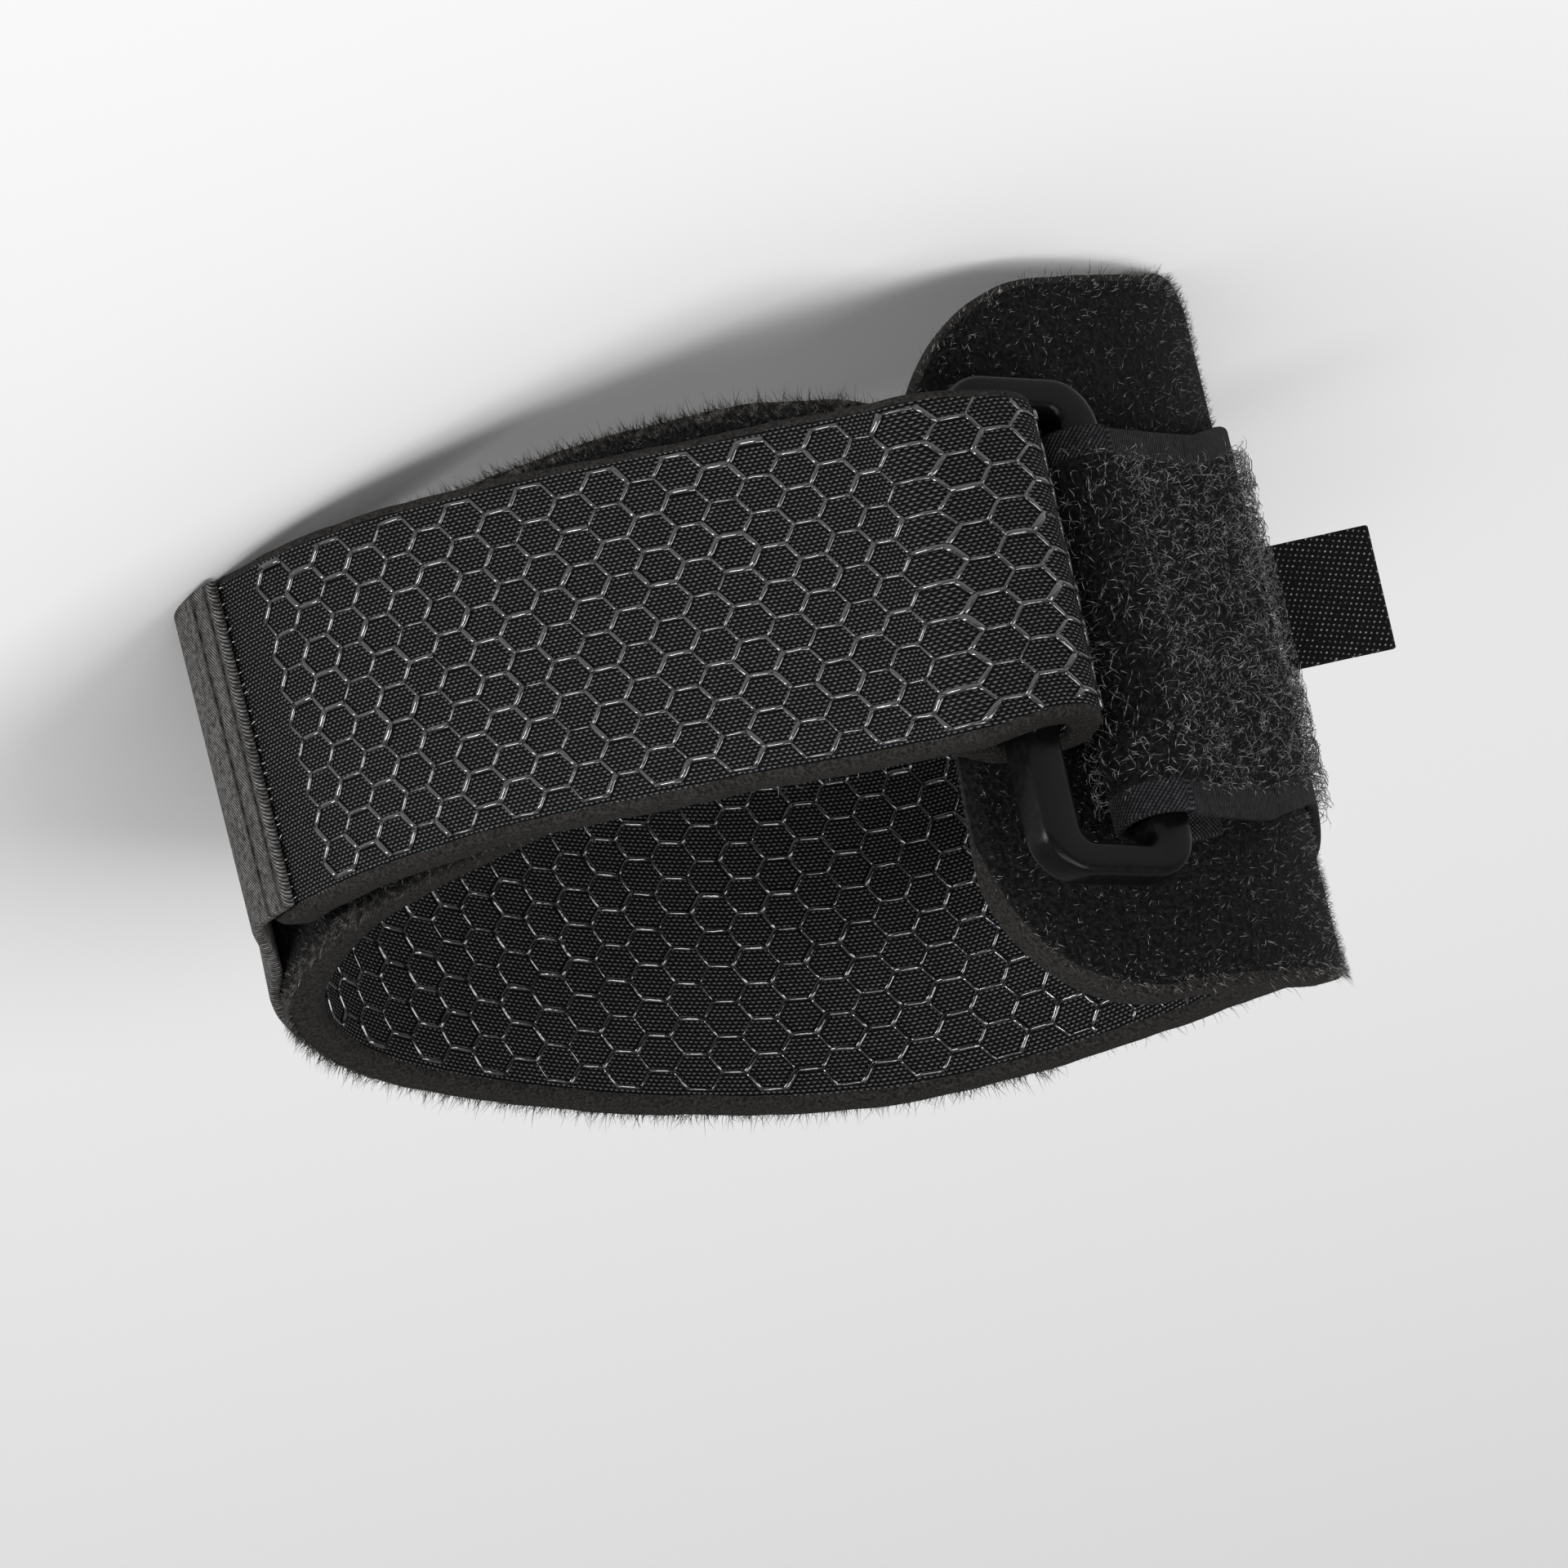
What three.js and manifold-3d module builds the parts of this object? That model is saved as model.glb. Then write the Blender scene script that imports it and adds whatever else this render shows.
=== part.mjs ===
// Tennis elbow strap, closed round the forearm, in millimetres with +Z up.
// A paddle-shaped padded strap runs once round the arm, passes through a ring on its own
// wide pad and doubles back to a hook tab. It stands on the pad's rim and the hook end.
import * as THREE from 'three';
import { ConvexHull } from 'three/addons/math/ConvexHull.js';
import { mergeVertices } from 'three/addons/utils/BufferGeometryUtils.js';
import Module from 'manifold-3d';

const wasm = await Module();
wasm.setup();

// Driving dimensions of the strap
const loopHalfWidth = 48.5;
const loopDepth = 98;
const bandWidth = 33;
const padHeight = 68;
const padCornerRadius = 17;
const strapThickness = 3.4;
const edgeRound = 0.8;
const bandEndRound = 5;
const foldSqueeze = 0.94;

// Driving dimensions of the ring
const ringHeight = 47.6;
const ringWidth = 17;
const ringThickness = 3.6;
const ringSideBar = 4.4;
const ringEndBar = 3.1;
const ringCornerRadius = 4.5;
const ringYaw = 40;
const ringEdgeRound = 0.6;

// Driving dimensions of the tapes
const ringTapeWidth = 37;
const ringTapeThickness = 1;
const ringTapeLength = 56;
const ringTapeTuck = 9;
const ringTapeDrop = 10;
const ringTapeDropRun = 0.7;
const ringTapeSettle = 24;
const ringTapeLap = 14;
const ringTapeTurn = 130;
const hookTapeWidth = 31.5;
const hookTapeThickness = 1.1;
const hookTapeOverlap = 7.6;
const hookTapeLength = 36;
const labelHeight = 12;
const labelLength = 10;
const labelThickness = 0.8;
const labelRise = -1;
const tapeEdgeRound = 0.3;
const hookTapeSteps = [0.26, 0.38, 0.5, 0.62, 0.74, 0.87, 1];

// Clearances and the depth to which the soft rim is pressed flat
const seatGap = 0.3;
const restFlat = 0.5;

// Sampling
const splineSteps = 6;
const foldStations = 5;
const tapeStations = 14;

// Part of the strap, in shares of its length, where the hook end looks for the loop beside it
const besideHook = [0.33, 0.72];

// Rows of the strap from the pad's free end round the arm to the ring.
// across is a share of loopHalfWidth, back of loopDepth and rise of bandWidth. broad goes from 0
// at band width to 1 at pad height, and lean is in degrees, to the pile side at the top.
const loopRows = [
  { across: -0.375, back: 0.136, rise: 0.135, broad: 1, lean: -6 },
  { across: -0.553, back: 0.177, rise: 0.13, broad: 1, lean: -4 },
  { across: -0.722, back: 0.229, rise: 0.105, broad: 1, lean: -2 },
  { across: -0.855, back: 0.306, rise: 0.055, broad: 1, lean: -1 },
  { across: -0.93, back: 0.408, rise: -0.01, broad: 1, lean: 0 },
  { across: -0.947, back: 0.531, rise: -0.02, broad: 0.8, lean: 1 },
  { across: -0.915, back: 0.673, rise: 0, broad: 0.45, lean: 4 },
  { across: -0.8, back: 0.816, rise: 0.045, broad: 0.17, lean: 8 },
  { across: -0.592, back: 0.923, rise: 0.06, broad: 0.03, lean: 11 },
  { across: -0.298, back: 0.98, rise: 0.06, broad: 0, lean: 12 },
  { across: 0, back: 0.964, rise: 0.04, broad: 0, lean: 12 },
  { across: 0.298, back: 0.898, rise: 0.005, broad: 0, lean: 12 },
  { across: 0.574, back: 0.801, rise: -0.045, broad: 0, lean: 12 },
  { across: 0.79, back: 0.697, rise: -0.1, broad: 0, lean: 9 },
  { across: 0.897, back: 0.61, rise: -0.145, broad: 0, lean: 3 },
  { across: 0.912, back: 0.535, rise: -0.18, broad: 0, lean: -1 },
  { across: 0.85, back: 0.46, rise: -0.22, broad: 0, lean: -3 },
  { across: 0.72, back: 0.386, rise: -0.25, broad: 0, lean: -3 },
  { across: 0.511, back: 0.306, rise: -0.25, broad: 0, lean: -2 },
  { across: 0.213, back: 0.191, rise: -0.215, broad: 0, lean: 0 },
  { across: -0.064, back: 0.1245, rise: -0.165, broad: 0, lean: 0 },
  { across: -0.235, back: 0.092, rise: -0.1, broad: 0, lean: 0 },
  { across: -0.345, back: 0.08, rise: -0.04, broad: 0, lean: 0 },
];

// Rows of the front layer, from the ring back to the hook end, in the same shares.
const frontRows = [
  { across: -0.43, back: -0.008, rise: 0.05, broad: 0, lean: 0 },
  { across: -0.33, back: 0.016, rise: 0.025, broad: 0, lean: 0 },
  { across: -0.2, back: 0.044, rise: -0.005, broad: 0, lean: 0 },
  { across: 0, back: 0.082, rise: -0.055, broad: 0, lean: 0 },
  { across: 0.255, back: 0.139, rise: -0.12, broad: 0, lean: 0 },
  { across: 0.511, back: 0.212, rise: -0.185, broad: 0, lean: 1 },
  { across: 0.723, back: 0.296, rise: -0.235, broad: 0, lean: 2 },
  { across: 0.87, back: 0.383, rise: -0.27, broad: 0, lean: 2 },
  { across: 0.93, back: 0.444, rise: -0.285, broad: 0, lean: 2 },
];

// Place of the ring: the middle of the bar that the strap folds over, in the same shares
const foldBar = { across: -0.504, back: 0.055, rise: 0.18 };

// Materials
const knit = new THREE.MeshStandardMaterial({ color: 0x1b1c1e, roughness: 0.95, metalness: 0 });
const gloss = new THREE.MeshStandardMaterial({ color: 0x101112, roughness: 0.35, metalness: 0 });
const pile = new THREE.MeshStandardMaterial({ color: 0x161616, roughness: 1, metalness: 0 });
const twill = new THREE.MeshStandardMaterial({ color: 0x3b3d3f, roughness: 0.9, metalness: 0 });
const woven = new THREE.MeshStandardMaterial({ color: 0x0c0d0f, roughness: 0.8, metalness: 0 });

const radians = THREE.MathUtils.degToRad;
const mix = THREE.MathUtils.lerp;

// A row's place, half height and lean in millimetres and degrees
function station(row) {
  return {
    x: row.across * loopHalfWidth,
    y: row.back * loopDepth,
    z: row.rise * bandWidth,
    half: mix(bandWidth, padHeight, row.broad) / 2,
    lean: row.lean,
  };
}

// Catmull-Rom curve through stations, blending every field
function smooth(stations, steps) {
  const fields = Object.keys(stations[0]);
  const result = [];
  for (let i = 0; i < stations.length - 1; i += 1) {
    const a = stations[Math.max(i - 1, 0)];
    const b = stations[i];
    const c = stations[i + 1];
    const d = stations[Math.min(i + 2, stations.length - 1)];
    for (let j = 0; j < steps; j += 1) {
      const t = j / steps;
      const point = {};
      for (const f of fields) {
        const slope = c[f] - a[f];
        const bend = 2 * a[f] - 5 * b[f] + 4 * c[f] - d[f];
        const twist = 3 * b[f] - a[f] - 3 * c[f] + d[f];
        point[f] = b[f] + 0.5 * (slope * t + bend * t * t + twist * t * t * t);
      }
      result.push(point);
    }
  }
  result.push({ ...stations[stations.length - 1] });
  return result;
}

// Adds to each station its travel, plan tangent and the normal on the pile side
function withFrames(stations) {
  let travel = 0;
  return stations.map((s, i) => {
    const before = stations[Math.max(i - 1, 0)];
    const after = stations[Math.min(i + 1, stations.length - 1)];
    if (i > 0) travel += Math.hypot(s.x - before.x, s.y - before.y);
    const along = new THREE.Vector2(after.x - before.x, after.y - before.y).normalize();
    return { ...s, travel, tx: along.x, ty: along.y, nx: -along.y, ny: along.x };
  });
}

// A tape's station lying over a leaning strap's station, at a height and z of its own
function seated(s, distance, z) {
  const reach = distance + (z - s.z) * Math.tan(radians(s.lean));
  return { x: s.x + s.nx * reach, y: s.y + s.ny * reach, z, lean: s.lean };
}

// Half height of the strap near its two free ends, whose corners are round
function roundedHalf(half, fromEnd, radius) {
  if (fromEnd >= radius) return half;
  return half - radius + Math.sqrt(radius * radius - (radius - fromEnd) ** 2);
}

// Closed strip: a flat section with eased edges carried along the stations
function strip(stations, thickness, ease) {
  const t = thickness / 2;
  const profile = [
    [-t, 1, -ease], [-t, -1, ease], [-t + ease, -1, 0], [t - ease, -1, 0],
    [t, -1, ease], [t, 1, -ease], [t - ease, 1, 0], [-t + ease, 1, 0],
  ];
  const positions = [];
  for (const s of stations) {
    const tilt = Math.tan(radians(s.lean));
    const up = new THREE.Vector3(s.nx * tilt, s.ny * tilt, 1).normalize();
    for (const [offset, side, inset] of profile) {
      const height = side * s.half + inset;
      positions.push(s.x + s.nx * offset + up.x * height);
      positions.push(s.y + s.ny * offset + up.y * height);
      positions.push(s.z + up.z * height);
    }
  }
  const size = profile.length;
  const last = (stations.length - 1) * size;
  const index = [];
  for (let i = 0; i < stations.length - 1; i += 1) {
    for (let j = 0; j < size; j += 1) {
      const a = i * size + j;
      const b = i * size + ((j + 1) % size);
      index.push(a, b, a + size, b, b + size, a + size);
    }
  }
  for (let j = 1; j < size - 1; j += 1) {
    index.push(0, j + 1, j);
    index.push(last, last + j, last + j + 1);
  }
  const geometry = new THREE.BufferGeometry();
  geometry.setAttribute('position', new THREE.Float32BufferAttribute(positions, 3));
  geometry.setIndex(index);
  return facingOut(geometry);
}

// Signed volume and its moment, by tetrahedra from the origin
function massMoment(geometry) {
  const p = geometry.getAttribute('position');
  const index = geometry.getIndex();
  const moment = new THREE.Vector3();
  const corners = [new THREE.Vector3(), new THREE.Vector3(), new THREE.Vector3()];
  let volume = 0;
  for (let i = 0; i < index.count; i += 3) {
    corners.forEach((corner, k) => corner.fromBufferAttribute(p, index.getX(i + k)));
    const [a, b, c] = corners;
    const part = a.dot(new THREE.Vector3().crossVectors(b, c)) / 6;
    volume += part;
    moment.addScaledVector(a, part / 4).addScaledVector(b, part / 4).addScaledVector(c, part / 4);
  }
  return { volume, moment };
}

// Turns the faces round where they point inwards
function facingOut(geometry) {
  if (massMoment(geometry).volume < 0) {
    const index = geometry.getIndex();
    for (let i = 0; i < index.count; i += 3) {
      const second = index.getX(i + 1);
      index.setX(i + 1, index.getX(i + 2));
      index.setX(i + 2, second);
    }
  }
  geometry.computeVertexNormals();
  return geometry;
}

// Stations of the turn round a bar, from under it by way of the slot to an angle over it
function barTurn(bar, radius, count, over, fields) {
  const turn = [];
  for (let i = 0; i < count; i += 1) {
    const angle = mix(-Math.PI / 2, radians(over), i / (count - 1));
    const along = radius * Math.cos(angle) * bar.side;
    const out = radius * Math.sin(angle);
    turn.push({
      x: bar.x + bar.tx * along + bar.nx * out,
      y: bar.y + bar.ty * along + bar.ny * out,
      ...fields,
    });
  }
  return turn;
}

// The ring's two side bars: tx,ty run across the ring from the fold bar to the tape bar
const ringTurn = radians(ringYaw);
const ringFrame = { tx: -Math.cos(ringTurn), ty: Math.sin(ringTurn) };
const ringNormal = { nx: -ringFrame.ty, ny: ringFrame.tx };
const barSpan = ringWidth - ringSideBar;
const foldBarAt = {
  x: foldBar.across * loopHalfWidth,
  y: foldBar.back * loopDepth,
  z: foldBar.rise * bandWidth,
  ...ringFrame,
  ...ringNormal,
  side: 1,
};
const tapeBarAt = {
  ...foldBarAt,
  x: foldBarAt.x + ringFrame.tx * barSpan,
  y: foldBarAt.y + ringFrame.ty * barSpan,
  side: -1,
};
const barReach = Math.hypot(ringSideBar, ringThickness) / 2;

// The strap: loop rows, the fold round the ring's bar, and the front layer
function strapStations() {
  const foldRadius = barReach + seatGap + strapThickness / 2;
  const half = (bandWidth * foldSqueeze) / 2;
  const slotEnd = foldBarAt.z - ringHeight / 2 + ringEndBar;
  const foldFields = { z: slotEnd + seatGap + half, half, lean: 0 };
  const fold = barTurn(foldBarAt, foldRadius, foldStations, 90, foldFields);
  const rows = [...loopRows.map(station), ...fold, ...frontRows.map(station)];
  return withFrames(smooth(rows, splineSteps));
}

// The station at a travel along a framed path
function stationAt(stations, travel) {
  const next = Math.max(1, stations.findIndex((s) => s.travel >= travel));
  const a = stations[next - 1];
  const b = stations[next];
  const t = (travel - a.travel) / (b.travel - a.travel);
  const between = {};
  for (const f of Object.keys(a)) between[f] = mix(a[f], b[f], t);
  return between;
}

// The travel of the station nearest to a place, among those before a limit
function nearestTravel(stations, place, from, to) {
  const within = stations.filter((s) => s.travel >= from && s.travel <= to);
  const distance = (s) => Math.hypot(s.x - place.x, s.y - place.y);
  return within.reduce((best, s) => (distance(s) < distance(best) ? s : best)).travel;
}

const path = strapStations();
const pathLength = path[path.length - 1].travel;

function makeStrap() {
  const rounded = path.map((s) => {
    const half = roundedHalf(s.half, s.travel, padCornerRadius);
    return { ...s, half: roundedHalf(half, pathLength - s.travel, bandEndRound) };
  });
  return strip(rounded, strapThickness, edgeRound);
}

// The ring: a rectangle with round corners and a slot, edges eased all round
function roundRectangle(shape, width, height, radius) {
  const x = width / 2;
  const y = height / 2;
  shape.moveTo(-x + radius, -y);
  shape.lineTo(x - radius, -y).absarc(x - radius, -y + radius, radius, -Math.PI / 2, 0);
  shape.lineTo(x, y - radius).absarc(x - radius, y - radius, radius, 0, Math.PI / 2);
  shape.lineTo(-x + radius, y).absarc(-x + radius, y - radius, radius, Math.PI / 2, Math.PI);
  shape.lineTo(-x, -y + radius).absarc(-x + radius, -y + radius, radius, Math.PI, Math.PI * 1.5);
  return shape;
}

function makeRing() {
  const slotWidth = ringWidth - 2 * ringSideBar;
  const slotHeight = ringHeight - 2 * ringEndBar;
  const slotRadius = Math.max(ringCornerRadius - ringEndBar, ringEdgeRound);
  const outline = roundRectangle(new THREE.Shape(), ringWidth, ringHeight, ringCornerRadius);
  outline.holes.push(roundRectangle(new THREE.Path(), slotWidth, slotHeight, slotRadius));
  const geometry = new THREE.ExtrudeGeometry(outline, {
    depth: ringThickness - 2 * ringEdgeRound,
    bevelThickness: ringEdgeRound,
    bevelSize: ringEdgeRound,
    bevelOffset: -ringEdgeRound,
    bevelSegments: 2,
    curveSegments: 5,
  });
  geometry.translate(0, 0, ringEdgeRound - ringThickness / 2);
  return mergeVertices(stripAttributes(geometry).applyMatrix4(ringPlacing()));
}

// The ring stands across its two bars
function ringPlacing() {
  const basis = new THREE.Matrix4().makeBasis(
    new THREE.Vector3(ringFrame.tx, ringFrame.ty, 0),
    new THREE.Vector3(0, 0, 1),
    new THREE.Vector3(ringFrame.ty, -ringFrame.tx, 0),
  );
  return basis.setPosition(
    foldBarAt.x + (ringFrame.tx * barSpan) / 2,
    foldBarAt.y + (ringFrame.ty * barSpan) / 2,
    foldBarAt.z,
  );
}

// The ring's loop tape: a short leg under the bar, the turn, and a long leg over the pad
function ringTapeStations() {
  const low = strapThickness / 2 + seatGap + ringTapeThickness / 2;
  const high = low + ringTapeThickness + seatGap;
  const start = nearestTravel(path, tapeBarAt, 0, loopDepth);
  const half = ringTapeWidth / 2;
  const dropEnd = ringTapeLength * ringTapeDropRun;
  const drop = (run) => tapeBarAt.z - ringTapeDrop * THREE.MathUtils.smoothstep(run, 0, dropEnd);
  const onPad = (run, height) => (
    { ...seated(stationAt(path, start + run), height, drop(run)), half }
  );
  const turnRadius = barReach + seatGap + ringTapeThickness / 2;
  const turnFields = { z: tapeBarAt.z, lean: 0, half };
  const turn = barTurn(tapeBarAt, turnRadius, foldStations + 2, ringTapeTurn, turnFields);
  const under = [onPad(ringTapeTuck, low), onPad(ringTapeTuck / 2, low)];
  const stations = [...under.map((s) => ({ ...s, lean: -s.lean })), ...turn];
  for (let i = 0; i <= tapeStations; i += 1) {
    const run = mix(ringTapeLap, ringTapeLength, i / tapeStations);
    const settle = THREE.MathUtils.smoothstep(run, ringTapeTuck, ringTapeSettle);
    stations.push(onPad(run, mix(high, low, settle)));
  }
  return withFrames(smooth(stations, splineSteps));
}

// The hook tape: over the front layer's end, then round the bend onto the loop's pile
function hookTapeStations() {
  const lift = strapThickness / 2 + seatGap + hookTapeThickness / 2;
  const end = path[path.length - 1];
  const half = hookTapeWidth / 2;
  const stations = [];
  for (const share of [1, 0.5, 0]) {
    const s = stationAt(path, pathLength - share * hookTapeOverlap);
    stations.push({ ...seated(s, -lift, s.z), half });
  }
  const [from, to] = besideHook;
  const beside = nearestTravel(path, end, from * pathLength, to * pathLength);
  const reach = hookTapeLength - hookTapeOverlap;
  const onLoop = hookTapeSteps.map((share) => {
    const under = stationAt(path, beside - share * reach);
    const s = seated(under, lift, mix(end.z, under.z, Math.sqrt(share)));
    return { ...s, lean: -s.lean, half };
  });
  const leaving = stations[stations.length - 1];
  const bridge = { ...leaving };
  for (const f of Object.keys(bridge)) bridge[f] = mix(leaving[f], onLoop[0][f], 0.5);
  stations.push(bridge, ...onLoop);
  return withFrames(smooth(stations, splineSteps));
}

// The label: a thin folded tape standing out from the ring tape at the loop's side
function makeLabel(tape) {
  const side = tape.reduce((best, s) => (s.x < best.x ? s : best));
  const geometry = new THREE.BoxGeometry(labelLength, labelThickness, labelHeight);
  const tiltReach = (labelHeight / 2 + Math.abs(labelRise)) * Math.abs(Math.tan(radians(side.lean)));
  const out = ringTapeThickness / 2 + seatGap + tiltReach + labelLength / 2;
  geometry.translate(side.x - out, side.y, side.z + labelRise);
  return mergeVertices(stripAttributes(geometry));
}

function stripAttributes(geometry) {
  geometry.deleteAttribute('normal');
  geometry.deleteAttribute('uv');
  return geometry;
}

// Manifold solids, for the cut where the soft rims rest
function toSolid(geometry) {
  const merged = mergeVertices(stripAttributes(geometry));
  const vertProperties = new Float32Array(merged.getAttribute('position').array);
  const triVerts = new Uint32Array(merged.getIndex().array);
  return new wasm.Manifold(new wasm.Mesh({ numProp: 3, vertProperties, triVerts }));
}

function toGeometry(solid) {
  const { vertProperties, triVerts } = solid.getMesh();
  const geometry = new THREE.BufferGeometry();
  geometry.setAttribute('position', new THREE.BufferAttribute(vertProperties, 3));
  geometry.setIndex(new THREE.BufferAttribute(triVerts, 1));
  geometry.computeVertexNormals();
  return geometry;
}

// True where a place in plan lies inside a triangle in plan
function insidePlan(place, corners) {
  const turns = corners.map((a, i) => {
    const b = corners[(i + 1) % 3];
    return (b.x - a.x) * (place.y - a.y) - (b.y - a.y) * (place.x - a.x) >= 0;
  });
  return turns.every(Boolean) || !turns.some(Boolean);
}

// The turn that sets the lowest supporting face of all the pieces level
function restingTurn(geometries) {
  const points = [];
  const moment = new THREE.Vector3();
  let volume = 0;
  for (const geometry of geometries) {
    const p = geometry.getAttribute('position');
    for (let i = 0; i < p.count; i += 1) points.push(new THREE.Vector3().fromBufferAttribute(p, i));
    const part = massMoment(geometry);
    moment.add(part.moment);
    volume += part.volume;
  }
  const centre = moment.divideScalar(volume);
  const down = new THREE.Vector3(0, 0, -1);
  const support = new ConvexHull().setFromPoints(points).faces.find((face) => {
    const corners = [face.edge, face.edge.next, face.edge.next.next].map((e) => e.head().point);
    return face.normal.dot(down) > 0 && insidePlan(centre, corners);
  });
  return new THREE.Quaternion().setFromUnitVectors(support.normal, down);
}

const ringTape = ringTapeStations();
const hookTape = hookTapeStations();
const pieces = [
  { name: 'strap', geometry: makeStrap(), material: knit, soft: true },
  { name: 'ring', geometry: makeRing(), material: gloss },
  { name: 'ring_tab', geometry: strip(ringTape, ringTapeThickness, tapeEdgeRound), material: pile },
  {
    name: 'hook_tab',
    geometry: strip(hookTape, hookTapeThickness, tapeEdgeRound),
    material: twill,
    soft: true,
  },
  { name: 'label', geometry: makeLabel(ringTape), material: woven },
];

// Level the whole on its lowest rims and centre it over the origin
const turn = restingTurn(pieces.map((piece) => piece.geometry));
for (const piece of pieces) piece.geometry.applyQuaternion(turn);
const bounds = new THREE.Box3();
for (const piece of pieces) {
  bounds.union(new THREE.Box3().setFromBufferAttribute(piece.geometry.getAttribute('position')));
}
const middle = bounds.getCenter(new THREE.Vector3());
const drop = -bounds.min.z - restFlat;
for (const piece of pieces) piece.geometry.translate(-middle.x, -middle.y, drop);

// Press the soft rims flat where they touch the ground
const above = new THREE.BoxGeometry(4 * loopHalfWidth, 4 * loopDepth, 4 * padHeight);
above.translate(0, 0, 2 * padHeight);
const ground = toSolid(above);

const group = new THREE.Group();
for (const piece of pieces) {
  const solid = toSolid(piece.geometry);
  const pressed = piece.soft ? solid.intersect(ground) : solid;
  const mesh = new THREE.Mesh(toGeometry(pressed), piece.material);
  mesh.name = piece.name;
  group.add(mesh);
}

export default group;
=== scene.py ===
"""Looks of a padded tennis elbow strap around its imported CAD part.

The laminate, its raised silicone print, its pile, the ring, the tapes and the label are
surfaces worked out with numpy along the same rows of stations as the part's source.
"""

import logging
import math
from dataclasses import dataclass, field
from enum import Enum

import bpy
import numpy as np
from mathutils import Matrix, Vector

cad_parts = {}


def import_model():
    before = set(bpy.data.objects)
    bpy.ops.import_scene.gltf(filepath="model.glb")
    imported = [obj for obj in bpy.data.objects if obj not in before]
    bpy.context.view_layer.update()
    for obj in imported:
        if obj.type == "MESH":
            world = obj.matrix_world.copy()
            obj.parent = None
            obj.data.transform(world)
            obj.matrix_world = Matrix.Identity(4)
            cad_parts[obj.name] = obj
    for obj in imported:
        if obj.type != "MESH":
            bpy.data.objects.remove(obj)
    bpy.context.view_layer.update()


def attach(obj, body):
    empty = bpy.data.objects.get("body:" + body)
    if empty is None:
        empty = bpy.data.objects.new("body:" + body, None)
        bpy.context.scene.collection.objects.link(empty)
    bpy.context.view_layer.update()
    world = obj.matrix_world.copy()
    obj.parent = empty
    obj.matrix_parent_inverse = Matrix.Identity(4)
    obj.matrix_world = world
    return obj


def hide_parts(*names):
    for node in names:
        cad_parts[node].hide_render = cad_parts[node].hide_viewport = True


log = logging.getLogger("elbow_strap")

MM = 0.001
SWELL_EVEN = 0.6
SWELL_WAVE = 0.4
Array = np.ndarray
Socket = bpy.types.NodeSocket


class Zone(Enum):
    """Material slots round a strip's section."""

    INNER = 0
    EDGE = 1
    OUTER = 2


class Wave(Enum):
    """Seeds of a strip's slow waves: its two cut edges and the swell of its faces."""

    LOWER_EDGE = 0
    SWELL = 3
    UPPER_EDGE = 7


# Shapes along a path


def mixed(low: Array, high: Array, share: Array) -> Array:
    """Straight blend: low + (high - low) times share."""
    return low + (high - low) * share


def smooth_step(value: Array, low: float, high: float) -> Array:
    """Share from 0 at low to 1 at high, as 3 s squared less 2 s cubed."""
    share = np.clip((value - low) / (high - low), 0, 1)
    return share * share * (3 - 2 * share)


def unit(vectors: Array) -> Array:
    """Vectors divided by their lengths."""
    return vectors / np.maximum(np.linalg.norm(vectors, axis=-1, keepdims=True), 1e-12)


def catmull_rom(rows: Array, steps: int) -> Array:
    """Curve through rows, with steps points for each gap.

    Each gap from b to c, with neighbours a and d, is b + half of (slope t + bend t^2 + twist t^3).

    Args:
        rows: one row of fields for each station.
        steps: points for each gap.

    Returns:
        The points of the curve, the last row included.
    """
    count = len(rows)
    gap = np.arange(count - 1)
    a = rows[np.maximum(gap - 1, 0)][:, None]
    b = rows[gap][:, None]
    c = rows[gap + 1][:, None]
    d = rows[np.minimum(gap + 2, count - 1)][:, None]
    t = (np.arange(steps) / steps)[None, :, None]
    bend = 2 * a - 5 * b + 4 * c - d
    twist = 3 * b - a - 3 * c + d
    curve = b + 0.5 * ((c - a) * t + bend * t**2 + twist * t**3)
    return np.concatenate([curve.reshape(-1, rows.shape[1]), rows[-1:]])


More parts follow.
